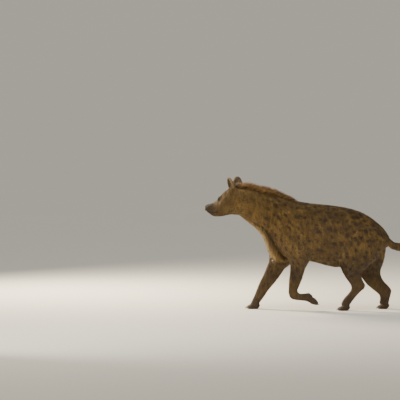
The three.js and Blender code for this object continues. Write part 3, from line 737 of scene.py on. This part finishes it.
def markings(co, normals, spots):
    x, y, z = drawingPlaces(co)
    y = np.abs(y)
    local = toLocal(headPlace, co)
    ahead = -local[:, 0]
    up = normals[:, 2]
    uneven = ripple(co, 0.06, 9)
    low = z + 18 * uneven
    # ear is painted shade over the ears, rim is painted rim light on their edges
    ear, rim = earShadeAndRimLight(co)
    eyes = [lengthOf(toLocal(eyeFrame(side), co) * [1, 0.72, 1]) for side in sides.values()]
    # upward-facing middle of the head, used for painted shade on the bridge's top
    onTop = ramp(34, 14, np.abs(local[:, 1])) * ramp(0.1, 0.6, up)
    parts = {
        "muzzle": ramp(152, 240, ahead + 10 * uneven),
        "lips": ramp(9, 3, mouthDistance(local)[0]) * (ahead > 150),
        "eyes": ramp(24, 15, np.minimum(*eyes)),
        # the bridge's own dark, deepened by painted shade where its top faces the light
        "bridgeAndTopShade": ramp(90, 150, ahead) * onTop,
        "face": ramp(-10, 130, ahead),
        # face is painted shade: the head darkened to match the shade the lamps leave between the neck's tufts
        "ear": ear,
        # legs: partly their own dark brown, partly painted shade for the lower legs' lesser skylight, darker
        # towards the ground
        "legs": ramp(450, 250, low),
        "feet": ramp(230, 70, low),
        "brush": ramp(700, 800, x + 20 * uneven),
        "pads": padMask(co),
        "chest": ramp(-120, -210, x) * ramp(690, 560, z) * ramp(72, 30, y),
        "belly": ramp(420, 340, z) * ramp(-0.3, -0.8, up) * ramp(240, 290, z),
        "rim": rim,
    }
    parts["chest"] *= ramp(0.05, -0.5, up + normals[:, 0] * 0.8)
    pale = strongest(parts, paleShares) * (1 - parts["muzzle"])
    crest = ramp(52, 20, y) * ramp(60, -120, x) * ramp(700, 800, z)
    crest *= ramp(120, 20, ahead)
    return np.stack([spotMask(co, spots), strongest(parts, darkShares), pale, crest], 1)


def writeColours(piece, name, columns):
    attribute = piece.data.color_attributes.new(name=name, type="FLOAT_COLOR", domain="POINT")
    attribute.data.foreach_set("color", np.stack(columns, 1).astype(np.float32).ravel())


# Coat: leaf-shaped tufts over the skin, each a small closed solid
coatValues = {
    "coat_head": {"spacing": 0.0022, "wide": 0.0032, "full": 11, "clump": 0.15, "seed": 1},
    "coat_neck": {"spacing": 0.0028, "wide": 0.0036, "full": 60, "clump": 0.5, "seed": 2},
    "coat_fore": {"spacing": 0.0031, "wide": 0.0036, "full": 60, "clump": 0.45, "seed": 3},
    "coat_barrel": {"spacing": 0.0032, "wide": 0.0036, "full": 60, "clump": 0.4, "seed": 4},
    "coat_hind": {"spacing": 0.0032, "wide": 0.0036, "full": 60, "clump": 0.35, "seed": 5},
    "coat_legs": {"spacing": 0.0029, "wide": 0.0032, "full": 18, "clump": 0.15, "seed": 6},
}


def coatRegion(co):
    ragged = 16 * ripple(co, 0.03, 51)
    x, y, z = (places + ragged for places in drawingPlaces(co))
    ahead = ragged - toLocal(headPlace, co)[:, 0]
    names = np.full(len(co), "coat_barrel", dtype=object)
    names[x > 290] = "coat_hind"
    names[x < 20] = "coat_fore"
    names[x < -200] = "coat_neck"
    names[z < 355] = "coat_legs"
    names[(z < 355) & (x > 40) & (x < 270) & (z > 280)] = "coat_barrel"
    names[ahead > 20] = "coat_head"
    return names


def trianglesOf(piece, field="vertices"):
    piece.data.calc_loop_triangles()
    return readAll(piece.data.loop_triangles, field, 3, np.int32)


def cellKeys(scaled):
    cell = np.floor(scaled).astype(np.int64)
    cell -= cell.min(0)
    return (cell[:, 0] * 20000 + cell[:, 1]) * 20000 + cell[:, 2]


def scatter(triangles, co, normals, spacing, draw):
    a, b, c = (co[triangles[:, k]] for k in range(3))
    area = lengthOf(np.cross(b - a, c - a)) / 2
    wanted = int(area.sum() / spacing ** 2 * 2.6)
    pick = np.searchsorted(np.cumsum(area), draw.random(wanted) * area.sum()).clip(0, len(area) - 1)
    u, v = draw.random(wanted), draw.random(wanted)
    flip = u + v > 1
    u[flip], v[flip] = 1 - u[flip], 1 - v[flip]
    share = np.stack([1 - u - v, u, v], 1)
    chosen = triangles[pick]
    place = (co[chosen] * share[:, :, None]).sum(1)
    out = (normals[chosen] * share[:, :, None]).sum(1)
    first = np.sort(np.unique(cellKeys(place / spacing), return_index=True)[1])
    return place[first], unit(out)[first]


def clumped(place, tips, cellSize, share):
    keys = cellKeys(place / cellSize + 0.31 * np.sin(place[:, [1, 2, 0]] * 90))
    index, count = np.unique(keys, return_inverse=True, return_counts=True)[1:]
    centre = np.stack([np.bincount(index, tips[:, k]) / count for k in range(3)], 1)[index]
    return tips + (centre - tips) * share


# Tufts: the steps along a tuft of so many sections, and the share of its width at each
leafForms = {
    1: ([0.4, 0.6], [1.0]),
    2: ([0.25, 0.4, 0.35], [1.0, 0.75]),
    3: ([0.18, 0.27, 0.3, 0.25], [0.9, 1.0, 0.62]),
    4: ([0.12, 0.2, 0.26, 0.24, 0.18], [0.8, 1.0, 0.85, 0.5]),
}


leafValues = {
    "root": 0.002,  # depth under the skin
    "twist": 0.35,
    "ridge": 0.55,  # share of half the width
    "aboveFloor": 0.0002,
    "clumpShort": 0.013,
    "clumpLong": 0.022,
    "lockClump": 0.42,
    "droop": 0.2,
    "patch": 0.003,  # width of a tuft's place on the map
    "mostTriangles": 190000,
}


def growLeaves(name, roots, droop, sections, clump, draw, skinMap):
    # each tuft starts at a root point under the skin, is widest past its root, and ends in a point
    place, out, lie, length, width, lift, marks = roots
    n = len(place)
    side = unit(np.cross(out, lie))
    lie = unit(np.cross(side, out))
    twist = draw.normal(0, leafValues["twist"], n)
    flat = side * np.cos(twist)[:, None] + out * np.sin(twist)[:, None]
    steps, widths = leafForms[sections]
    rows = [place - out * leafValues["root"]]
    spine = place.copy()
    centres = []
    for i, step in enumerate(steps):
        angle = lift - droop * i / len(steps)
        way = lie * np.cos(angle)[:, None] + out * np.sin(angle)[:, None]
        spine = spine + way * (length * step)[:, None]
        centres.append(spine)
    tips = clumped(place, centres[-1], leafValues["clumpShort" if sections == 1 else "clumpLong"], clump)
    shiftTip = tips - centres[-1]
    for i in range(sections):
        mid = centres[i] + shiftTip * ((i + 1) / len(steps)) ** 2
        half = (width * widths[i] / 2)[:, None]
        rows += [mid + flat * half, mid - flat * half, mid + out * half * leafValues["ridge"]]
    rows.append(tips)
    co = np.stack(rows, 1).reshape(-1, 3)
    co[:, 2] = np.maximum(co[:, 2], leafValues["aboveFloor"])
    count = len(rows)
    one = [(0, 3, 1), (0, 2, 3), (0, 1, 2)]
    for ring in range(1, 3 * sections - 2, 3):
        a, b, c, d, e, f = range(ring, ring + 6)
        one += [(a, c, f), (a, f, d), (c, b, e), (c, e, f), (b, a, d), (b, d, e)]
    last = count - 1
    one += [(last, last - 3, last - 1), (last, last - 1, last - 2), (last, last - 2, last - 3)]
    faces = (np.arange(n)[:, None, None] * count + np.array(one)[None]).reshape(-1, 3)
    mesh = bpy.data.meshes.new(name)
    mesh.vertices.add(len(co))
    mesh.vertices.foreach_set("co", co.astype(np.float32).ravel())
    mesh.loops.add(faces.size)
    mesh.loops.foreach_set("vertex_index", faces.astype(np.int32).ravel())
    mesh.polygons.add(len(faces))
    mesh.polygons.foreach_set("loop_start", np.arange(0, faces.size, 3, dtype=np.int32))
    mesh.polygons.foreach_set("use_smooth", np.ones(len(faces), bool))
    mesh.update(calc_edges=True)
    piece = addPiece(name, mesh)
    along = np.tile(np.concatenate([[0.0], np.repeat(np.cumsum(steps)[:sections], 3), [1.0]]), n)
    writeColours(piece, "marks", np.repeat(marks, count, axis=0).T)
    shades = [np.repeat(draw.random(n), count) for shade in range(2)]
    writeColours(piece, "tuft", [along, *shades, np.ones(n * count)])
    root = skinMap(place)
    layer = piece.data.uv_layers.new(name="OFBake")
    cornerU = np.linspace(0, 1, count)[None, :] * leafValues["patch"]
    cornerV = np.abs(np.sin(np.arange(count) * 2.1))[None, :] * leafValues["patch"]
    uv = np.stack([root[:, 0:1] + cornerU, root[:, 1:2] + cornerV], 2).reshape(-1, 2)
    layer.data.foreach_set("uv", uv[faces.ravel()].astype(np.float32).ravel())
    return piece


mapValues = {"faces": 0.07, "angle": 1.15, "margin": 0.004, "used": 0.994}


def unwrapSkin(skin):
    # a light copy of the skin is unwrapped, and gives each tuft the place of its root on it
    copy = addPiece("unwrap", skin.data.copy())
    useModifier(copy, "DECIMATE", ratio=mapValues["faces"])
    limits = {"angle_limit": mapValues["angle"], "island_margin": mapValues["margin"]}
    inEditMode(copy, (bpy.ops.uv.smart_project, limits))
    co = pointsOf(copy).astype(float)
    triangles = trianglesOf(copy)
    uv = readAll(copy.data.uv_layers.active.data, "uv", 2)[trianglesOf(copy, "loops")]
    tree = BVHTree.FromPolygons([tuple(p) for p in co.tolist()], triangles.tolist())
    bpy.data.objects.remove(copy)

    def rootMap(place):
        result = np.empty((len(place), 2))
        for i, p in enumerate(place.tolist()):
            hit, normal, index, distance = tree.find_nearest(p)
            a, b, c = co[triangles[index]]
            h = np.array(hit)
            pairs = ((b, c), (c, a), (a, b))
            areas = np.array([np.linalg.norm(np.cross(p - h, q - h)) for p, q in pairs])
            result[i] = (uv[index] * areas[:, None]).sum(0) / (areas.sum() + 1e-12)
        return result * mapValues["used"]

    return rootMap


# Places without hair: eyelid rims, lips, nose, and the pads of the lifted paw
def bare(co, out):
    local = toLocal(headPlace, co)
    isBare = (mouthDistance(local)[0] < 2.2) & (local[:, 0] < -178) & (np.abs(local[:, 1]) < 60)
    isBare |= reachInNose(local) < 0.97
    for side in sides.values():
        inEye = toLocal(eyeFrame(side), co)
        arch = 1 - (inEye[:, 1] / eyeValues["halfLong"]) ** 2
        opening = eyeValues["halfHigh"] * arch - np.abs(inEye[:, 2])
        isBare |= (lengthOf(inEye) < 18) & (opening > -1.8)
    return isBare | (padMask(co) > 0.5) | ((co[:, 2] < 0.003) & (out[:, 2] < -0.5))


def growCoat(skin, spots, skinMap):
    co, normals = surfaceOf(skin)
    triangles = trianglesOf(skin)
    regions = coatRegion(co[triangles].mean(1))
    pieces = []
    for name, values in coatValues.items():
        draw = np.random.default_rng(values["seed"])
        spacing = values["spacing"] * 1
        place, out = scatter(triangles[regions == name], co, normals, spacing, draw)
        keep = ~bare(place, out)
        place, out = place[keep], out[keep]
        lie, length, lift = combed(place)
        # long tufts stand further apart
        enough = draw.random(len(place)) < np.clip(values["full"] * mm / length, 0.55, 1)
        place, out, lie, length, lift = (part[enough] for part in (place, out, lie, length, lift))
        lie = unit(lie + draw.normal(0, 0.1, lie.shape))
        length = length * draw.uniform(0.75, 1.2, len(place))
        width = np.clip(length * 0.14, 0.0013, values["wide"]) * draw.uniform(0.8, 1.2, len(place))
        roots = (place, out, lie, length, width, lift, markings(place, out, spots))
        parts = math.ceil(len(place) * 6 / leafValues["mostTriangles"])
        for part in range(parts):
            chosen = [column[part::parts] for column in roots]
            title = name if parts == 1 else f"{name}_{part + 1}"
            pieces.append(growLeaves(title, chosen, leafValues["droop"], 1, values["clump"], draw, skinMap))
        print(name, len(place), "tufts")
    return pieces


# Long hair: the mane on nape and shoulders, the fringe of throat and chest, and the brush of the tail
longHairValues = {
    "mane": {
        "spacing": 0.0034, "wide": 0.0040, "long": 60, "lift": 1.2, "droop": 0.5, "sections": 3, "seed": 31,
        "size": ([-490, -465, -400, -330, -200, -100, -30], [0.5, 0.95, 1.08, 1.0, 1.0, 0.8, 0.45]),
    },
    "throat_fringe": {
        "spacing": 0.0034, "wide": 0.0042, "long": 80, "lift": 0.98, "droop": 0.5, "sections": 3, "seed": 32,
        "size": ([-420, -370, -300, -240, -150, -80], [0.3, 0.5, 0.8, 1.05, 1.0, 0.5]),
    },
    "tail_brush": {
        "spacing": 0.0026, "wide": 0.0046, "long": 120, "lift": 0.46, "droop": 0.5, "sections": 4, "seed": 33,
        "size": ([740, 790, 900, 950], [0.6, 0.9, 0.95, 0.72]),
    },
}


def longHairRoots(name, x, y, z, out):
    if name == "mane":
        weight = ramp(-492, -470, x) * ramp(-10, -60, x)
        halfWide = np.interp(x, [-490, -440, -300, -100, -20], [20, 30, 42, 36, 14])
        within = ramp(halfWide + 12, halfWide - 8, np.abs(y))
        return weight * within * (out[:, 2] > 0.2) * (z > 700)
    if name == "throat_fringe":
        below = np.interp(x, [-412, -335, -240, -190, -120, -70], [712, 688, 650, 610, 470, 410])
        edge = ramp(-425, -395, x) * ramp(-60, -110, x)
        halfWide = np.interp(x, [-410, -260, -160, -80], [34, 62, 56, 26])
        facing = ramp(0.1, -0.25, out[:, 2] + 0.7 * out[:, 0])
        within = ramp(halfWide + 12, halfWide - 8, np.abs(y))
        return edge * facing * within * (z < below + 30) * (z > 355)
    return ramp(735, 760, x) * (x < 960) * (z > 400)


def longHairLie(name, out):
    n = len(out)
    if name == "mane":
        return np.tile([1.0, 0, 0.05], (n, 1)) + out * [0, 0.25, 0]
    if name == "throat_fringe":
        return np.stack([0.25 - 0.45 * out[:, 2], 0.2 * out[:, 1], np.full(n, -1.0)], 1)
    return np.tile([1.0, 0, -0.1], (n, 1))


def growLongHair(skin, spots, skinMap):
    co, normals = surfaceOf(skin)
    triangles = trianglesOf(skin)
    middle = co[triangles].mean(1)
    pieces = []
    for name, values in longHairValues.items():
        draw = np.random.default_rng(values["seed"])
        spacing = values["spacing"] * 1
        near = middle[:, 0] > 0.5 if name == "tail_brush" else middle[:, 0] < -0.15
        place, out = scatter(triangles[near & (middle[:, 2] > 0.34)], co, normals, spacing, draw)
        keep = longHairRoots(name, *drawingPlaces(place), out) > draw.random(len(place))
        place, out = place[keep], out[keep]
        x, y, z = drawingPlaces(place)
        size = draw.uniform(0.5, 1.15, len(place)) * np.interp(x, *values["size"])
        if name == "throat_fringe":
            size *= np.interp(z, [380, 440, 520, 600], [0.9, 1.2, 1.2, 1])
        lie = unit(longHairLie(name, out) + draw.normal(0, 0.09, out.shape))
        length = values["long"] * mm * size
        width = values["wide"] * (0.4 + 0.6 * size) * draw.uniform(0.8, 1.25, len(place))
        lift = values["lift"] * draw.uniform(0.75, 1.15, len(place))
        if name == "throat_fringe":
            lift += np.interp(z, [420, 540], [0.22, 0])
        marks = markings(place, out, spots)
        if name == "mane":
            marks[:, 3] = np.maximum(marks[:, 3], 0.8)
        if name == "throat_fringe":
            light = ramp(64, 26, np.abs(y)) * ramp(700, 600, z)
            light *= 1 - 0.7 * ramp(-220, -175, x) * ramp(480, 420, z)
            marks[:, 2] = np.maximum(marks[:, 2], light * draw.uniform(0.45, 0.88, len(place)))
        roots = (place, out, lie, length, width, lift, marks)
        droop, sections, clump = values["droop"], values["sections"], leafValues["lockClump"]
        pieces.append(growLeaves(name + "_locks", roots, droop, sections, clump, draw, skinMap))
        print(name, len(place), "locks")
    return pieces


# Nose: the leather pad on the muzzle's own front, a little proud of the skin, with comma-shaped nostrils
noseValues = {
    "pad": ((25, 30, 19), (284, 752)),
    "lower": ((11, 12, 17), (287, 736)),
    "tip": ((22, 26, 18), (272, 0, 747)),
    "nostril": ((9, 4.6, 5.4), (290, 12, 750), (0, 0.75)),
    "slit": ((11, 2.2, 3), (281, 22, 744), (0.5, 1.0)),
    "philtrum": ((5, 1.0, 17), (290, 0, 737)),
    "voxels": (0.0011, 0.0010),  # before and after the nostrils
}


def noseRegion():
    forms = []
    for part, around in (("pad", 56), ("lower", 32)):
        radii, (ahead, height) = noseValues[part]
        forms.append(addBall(part, radii, headSpot(ahead, 0, height), around, 32))
    return uniteAll("region", forms)


def makeNose():
    front = makeSkull("front")
    radii, place = noseValues["tip"]
    tip = addBall("tip", radii, headSpot(*place), 48, 32)
    nose = uniteAll("nose_pad", [front, tip])
    region = noseRegion()
    useModifier(nose, "BOOLEAN", operation="INTERSECT", solver="MANIFOLD", object=region)
    bpy.data.objects.remove(region)
    useModifier(nose, "REMESH", mode="VOXEL", voxel_size=noseValues["voxels"][0])
    useModifier(nose, "SMOOTH", factor=0.5, iterations=6)
    for side in sides.values():
        for name, around, down in (("nostril", 32, 20), ("slit", 24, 16)):
            radii, (ahead, out, height), (turnX, turnZ) = noseValues[name]
            place = headSpot(ahead, side * out, height, side * turnX, 0, side * turnZ)
            cutAway(nose, addBall(name, radii, place, around, down))
    radii, place = noseValues["philtrum"]
    cutAway(nose, addBall("philtrum", radii, headSpot(*place), 24, 16))
    useModifier(nose, "REMESH", mode="VOXEL", voxel_size=noseValues["voxels"][1])
    useModifier(nose, "SMOOTH", factor=0.5, iterations=3)
    return shadeSmooth(nose)


# Claws: blunt, dark, curved down, four on each paw
clawValues = {
    "reach": ([0, 0.3, 0.65, 1], [7, -4, -12, -17.5]),
    "middle": ([0, 0.3, 0.65, 1], [0.2, 0.6, -0.8, -4.6]),
    "half": ([0, 0.15, 0.45, 0.8, 1], [2.6, 3.8, 3.3, 1.9, 0.4]),
    "narrow": 0.74,
    "root": (4, 1.1, 14),
}


def makeClaw():
    claw = addBall("claw", (1000, 1000, 1000), turned(turnY=math.pi / 2), 20, 24)
    co = pointsOf(claw)
    share = (1 - co[:, 0]) / 2
    x, middle, half = (np.interp(share, *clawValues[part]) for part in ("reach", "middle", "half"))
    ring = lengthOf(co[:, 1:]) + 1e-9
    fullness = np.minimum(ring * 2.2, 1)
    y = co[:, 1] / ring * fullness * half * clawValues["narrow"]
    z = co[:, 2] / ring * fullness * half + middle
    movePoints(claw, np.stack([x, y, z], 1) * mm)
    return claw


def makeClaws():
    pattern = makeClaw()
    back, spread, height = clawValues["root"]
    claws = []
    for paw in legNames:
        place, length, scale = pawValues[paw][:3]
        for number, offset in enumerate(pawValues["toes"], 1):
            reach = toeReach(offset, length) * scale
            x, y, z = -reach + back * scale, offset * spread * scale, height * scale
            root = placed(x, y, z, 0, -0.5, offset * -0.006)
            mesh = pattern.data.copy()
            mesh.transform(place @ root @ Matrix.Scale(scale, 4))
            claw = shadeSmooth(addPiece(f"{paw}_claw_{number}", mesh))
            claws.append((claw, f"claw_{paw}_{number}"))
    bpy.data.objects.remove(pattern)
    return claws


# Whiskers on the lips and over the eyes, rooted on the skin
whiskerValues = {
    "thick": 0.5, "lift": 0.95, "droop": 0.6, "seed": 41,
    "rows": ((744, 4), (736, 5), (728, 4)),
    "brow": ((176, 44, 826), (168, 47, 829)),
}


def makeWhiskers(skin):
    draw = np.random.default_rng(whiskerValues["seed"])
    place, out, lie, length = [], [], [], []

    def root(ahead, aside, height, way, long):
        hit, spotOn, normal, face = skin.closest_point_on_mesh(headSpot(ahead, aside, height).translation)
        place.append(spotOn[:])
        out.append(normal[:])
        lie.append((headPlace.to_3x3() @ Vector(way))[:])
        length.append(long * mm * draw.uniform(0.85, 1.15))

    for side in sides.values():
        for height, count in whiskerValues["rows"]:
            for step in range(count):
                way = (0.55 + 0.1 * step, side * 0.55, (height - 742) * 0.03)
                root(264 - 11 * step, side * 48, height, way, 30 + 8 * step)
        for ahead, aside, height in whiskerValues["brow"]:
            root(ahead, side * aside, height, (0.5, side * 0.5, 0.7), 34)
    n = len(place)
    place, out, lie, length = (np.array(column) for column in (place, out, lie, length))
    width, lift = np.full(n, whiskerValues["thick"] * mm), np.full(n, whiskerValues["lift"])
    roots = (place, out, unit(lie), length, width, lift, np.tile([0, 1, 0, 0], (n, 1)))
    return growLeaves("whiskers", roots, whiskerValues["droop"], 4, 0, draw, lambda at: at[:, :2] * 0 + 0.5)


# Finishes
colours = {
    "sand": (0.245, 0.145, 0.032, 1),
    "tan": (0.145, 0.078, 0.015, 1),
    "spot": (0.042, 0.019, 0.006, 1),
    "dark": (0.032, 0.016, 0.007, 1),
    "pale": (0.50, 0.35, 0.16, 1),
    "gold": (0.21, 0.104, 0.024, 1),
    "leather": (0.016, 0.013, 0.012, 1),
    "leatherWorn": (0.024, 0.020, 0.018, 1),
    "iris": (0.07, 0.028, 0.01, 1),
    "irisEdge": (0.018, 0.009, 0.005, 1),
    "pupil": (0.002, 0.002, 0.002, 1),
    "horn": (0.05, 0.035, 0.026, 1),
    "hornTip": (0.20, 0.15, 0.105, 1),
    "floor": (0.74, 0.71, 0.65, 1),
    "floorWorn": (0.66, 0.63, 0.57, 1),
    "air": (0.86, 0.84, 0.78, 1),
}


def newMaterial(name, roughness, **sockets):
    material = bpy.data.materials.new(name)
    material.use_nodes = True
    tree = material.node_tree
    shader = tree.nodes["Principled BSDF"]
    shader.inputs["Roughness"].default_value = roughness
    for socket, value in sockets.items():
        shader.inputs[socket].default_value = value
    return material, tree, shader


def addNode(tree, kind, **values):
    node = tree.nodes.new(kind)
    for key, value in values.items():
        setattr(node, key, value)
    return node


def mixColour(tree, factor, first, second, blend="MIX"):
    mix = addNode(tree, "ShaderNodeMix", data_type="RGBA", blend_type=blend)
    for socket, value in ((mix.inputs[0], factor), (mix.inputs[6], first), (mix.inputs[7], second)):
        if isinstance(value, (float, int, tuple)):
            socket.default_value = value
        else:
            tree.links.new(value, socket)
    return mix.outputs[2]


def paint(tree, shader, colour):
    tree.links.new(colour, shader.inputs["Base Color"])


def mapRange(tree, value, low, high, toLow, toHigh):
    node = addNode(tree, "ShaderNodeMapRange")
    tree.links.new(value, node.inputs["Value"])
    for socket, number in (("From Min", low), ("From Max", high), ("To Min", toLow), ("To Max", toHigh)):
        node.inputs[socket].default_value = number
    return node.outputs["Result"]


def noiseOf(tree, scale, detail=3.0, stretch=None):
    place = addNode(tree, "ShaderNodeTexCoord").outputs["Object"]
    if stretch:
        mapping = addNode(tree, "ShaderNodeMapping")
        mapping.inputs["Scale"].default_value = stretch
        tree.links.new(place, mapping.inputs["Vector"])
        place = mapping.outputs["Vector"]
    noise = addNode(tree, "ShaderNodeTexNoise")
    noise.inputs["Scale"].default_value = scale
    noise.inputs["Detail"].default_value = detail
    tree.links.new(place, noise.inputs["Vector"])
    return noise.outputs["Fac"]


def splitColour(tree, name):
    attribute = addNode(tree, "ShaderNodeAttribute", attribute_name=name)
    parts = addNode(tree, "ShaderNodeSeparateColor")
    tree.links.new(attribute.outputs["Color"], parts.inputs["Color"])
    return parts.outputs, attribute.outputs["Alpha"]


def bumpFrom(tree, shader, height, strength, distance):
    bump = addNode(tree, "ShaderNodeBump")
    bump.inputs["Strength"].default_value = strength
    bump.inputs["Distance"].default_value = distance
    tree.links.new(height, bump.inputs["Height"])
    tree.links.new(bump.outputs["Normal"], shader.inputs["Normal"])


def markedColour(tree):
    marks, crest = splitColour(tree, "marks")
    patches = mapRange(tree, noiseOf(tree, 14), 0.35, 0.65, 0, 1)
    coat = mixColour(tree, patches, colours["sand"], colours["tan"])
    wisps = mapRange(tree, noiseOf(tree, 62, 4.0, (1, 1, 0.32)), 0.36, 0.64, 0.72, 1.24)
    coat = mixColour(tree, 1.0, coat, wisps, "MULTIPLY")
    coat = mixColour(tree, mapRange(tree, crest, 0, 1, 0, 0.85), coat, colours["gold"])
    coat = mixColour(tree, marks["Blue"], coat, colours["pale"])
    coat = mixColour(tree, mapRange(tree, marks["Red"], 0, 1, 0, 0.9), coat, colours["spot"])
    return mixColour(tree, marks["Green"], coat, colours["dark"])


def skinMaterial():
    material, tree, shader = newMaterial("short coat over skin", 0.82, **{"Sheen Weight": 0.15})
    coat = markedColour(tree)
    shade = mapRange(tree, noiseOf(tree, 420), 0.3, 0.7, 0.72, 1.0)
    coat = mixColour(tree, 1.0, coat, shade, "MULTIPLY")
    paint(tree, shader, coat)
    bumpFrom(tree, shader, noiseOf(tree, 520), 0.5, 0.0015)
    return material


def hairMaterial(name, roughness, root, tip):
    material, tree, shader = newMaterial(name, roughness, **{"Sheen Weight": 0.12, "Sheen Roughness": 0.4})
    tuft = splitColour(tree, "tuft")[0]
    coat = markedColour(tree)
    # painted shade towards each tuft's root and painted light towards its tip
    coat = mixColour(tree, 1.0, coat, mapRange(tree, tuft["Red"], 0, 1, root, tip), "MULTIPLY")
    coat = mixColour(tree, 1.0, coat, mapRange(tree, tuft["Green"], 0, 1, 0.72, 1.2), "MULTIPLY")
    paint(tree, shader, coat)
    dullness = mapRange(tree, tuft["Blue"], 0, 1, roughness - 0.1, roughness + 0.1)
    tree.links.new(dullness, shader.inputs["Roughness"])
    return material


def noseMaterial():
    material, tree, shader = newMaterial("nose leather", 0.75, **{"Specular IOR Level": 0.07})
    place = addNode(tree, "ShaderNodeTexCoord").outputs["Object"]
    cells = addNode(tree, "ShaderNodeTexVoronoi", feature="DISTANCE_TO_EDGE")
    cells.inputs["Scale"].default_value = 620
    tree.links.new(place, cells.inputs["Vector"])
    ridge = mapRange(tree, cells.outputs["Distance"], 0, 0.25, 0, 1)
    leather = mixColour(tree, ridge, colours["leather"], colours["leatherWorn"])
    paint(tree, shader, leather)
    tree.links.new(mapRange(tree, noiseOf(tree, 90), 0.3, 0.7, 0.65, 0.85), shader.inputs["Roughness"])
    bumpFrom(tree, shader, ridge, 0.35, 0.0005)
    return material


def eyeMaterial():
    shine = {"Specular IOR Level": 0.15, "Coat Weight": 0.22, "Coat Roughness": 0.05}
    material, tree, shader = newMaterial("eye", 0.3, **shine)
    angle = splitColour(tree, "gaze")[0]["Red"]
    iris = mixColour(tree, mapRange(tree, angle, 0.25, 0.52, 0, 1), colours["iris"], colours["irisEdge"])
    iris = mixColour(tree, mapRange(tree, noiseOf(tree, 900), 0.35, 0.65, 0, 0.6), iris, colours["irisEdge"])
    whole = mixColour(tree, mapRange(tree, angle, 0.19, 0.23, 0, 1), colours["pupil"], iris)
    paint(tree, shader, whole)
    return material


def clawMaterial():
    material, tree, shader = newMaterial("claw horn", 0.4)
    streak = noiseOf(tree, 300, 2.0, (1, 1, 0.25))
    horn = mixColour(tree, mapRange(tree, streak, 0.35, 0.75, 0, 1), colours["horn"], colours["hornTip"])
    paint(tree, shader, horn)
    bumpFrom(tree, shader, streak, 0.3, 0.0004)
    return material


def whiskerMaterial():
    material, tree, shader = newMaterial("whisker", 0.8, **{"Specular IOR Level": 0.05})
    bristle = mixColour(tree, noiseOf(tree, 60), colours["leather"], colours["leatherWorn"])
    paint(tree, shader, bristle)
    return material


def dress(piece, material):
    piece.data.materials.clear()
    piece.data.materials.append(material)


# Studio: camera as in the photograph, pale floor, soft lights
studioValues = {
    "camera": (-0.89, -29.96, 2.346), "pitch": 2.95, "lens": 370, "aim": (0, 0, 0.55), "air": 0.68,
    "sensor": 36, "farthest": 3000, "floor": 1200,
    "lights": [
        ("over", (-0.6, -1.6, 3.4), 2.6, 60, (1.0, 0.97, 0.92)),
        ("front", (-2.6, -3.2, 1.5), 2.4, 42, (1.0, 0.96, 0.9)),
        ("behind", (-2.6, 2.3, 2.3), 1.3, 400, (1.0, 0.86, 0.62)),
    ],
}


def setStudio():
    camera = bpy.data.cameras.new("camera")
    camera.lens = studioValues["lens"]
    camera.sensor_width = studioValues["sensor"]
    camera.clip_end = studioValues["farthest"]
    cameraObject = addPiece("camera", camera)
    cameraObject.location = studioValues["camera"]
    cameraObject.rotation_euler = (math.radians(90 - studioValues["pitch"]), 0, 0)
    bpy.context.scene.camera = cameraObject
    for name, place, size, power, colour in studioValues["lights"]:
        light = bpy.data.lights.new(name, "AREA")
        light.shape = "DISK"
        light.size = size
        light.energy = power
        light.color = colour
        lightObject = addPiece(name, light)
        lightObject.location = place
        way = Vector(studioValues["aim"]) - Vector(place)
        lightObject.rotation_euler = way.to_track_quat("-Z", "Y").to_euler()
    world = bpy.data.worlds.new("studio")
    world.use_nodes = True
    air = world.node_tree.nodes["Background"]
    air.inputs["Color"].default_value = colours["air"]
    air.inputs["Strength"].default_value = studioValues["air"]
    bpy.context.scene.world = world
    bpy.ops.object.select_all(action="DESELECT")
    bpy.ops.mesh.primitive_circle_add(vertices=96, radius=studioValues["floor"], fill_type="NGON")
    floor = newest("floor")
    material, tree, shader = newMaterial("pale floor", 0.85)
    wear = mapRange(tree, noiseOf(tree, 0.6), 0.3, 0.7, 0, 0.12)
    paint(tree, shader, mixColour(tree, wear, colours["floor"], colours["floorWorn"]))
    dress(floor, material)


def build():
    setStudio()
    print("studio set")
    skin = makeSkin()
    print("skin made", len(skin.data.polygons))
    co, normals = surfaceOf(skin)
    spots = placeSpots(co, normals)
    writeColours(skin, "marks", markings(co, normals, spots).T)
    dress(skin, skinMaterial())
    print("spots placed", len(spots))
    skinMap = unwrapSkin(skin)
    # the last two numbers set the painted shade at the roots and the painted light at the tips
    shortHair = hairMaterial("short coat", 0.7, 0.65, 1.2)
    longHair = hairMaterial("long hair", 0.6, 0.42, 1.6)
    coat = growCoat(skin, spots, skinMap)
    for piece in coat:
        dress(piece, shortHair)
    locks = growLongHair(skin, spots, skinMap)
    for piece in locks:
        dress(piece, longHair)
    nose = makeNose()
    dress(nose, noseMaterial())
    whiskers = makeWhiskers(skin)
    dress(whiskers, whiskerMaterial())
    eyes = []
    eyeLook = eyeMaterial()
    for name, side in sides.items():
        eye = makeEye("eyeball_" + name, side)
        local = toLocal(eyeFrame(side), pointsOf(eye))
        angle = np.arctan2(lengthOf(local[:, 1:]), -local[:, 0])
        writeColours(eye, "gaze", [angle, angle * 0, angle * 0, angle * 0 + 1])
        dress(eye, eyeLook)
        eyes.append((eye, "eye_" + name))
    claws = makeClaws()
    clawLook = clawMaterial()
    for claw, node in claws:
        dress(claw, clawLook)
    print("head and paws finished")

    for piece in [skin, nose, whiskers] + coat + locks + [part for part, node in eyes + claws]:
        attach(piece, "root")
    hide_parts(*skinValues["nodes"], "ear_left", "ear_right")
    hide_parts("nose")
    for piece, node in eyes + claws:
        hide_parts(node)
    for piece, node in zip(locks, longHairValues):
        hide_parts(node)


build()
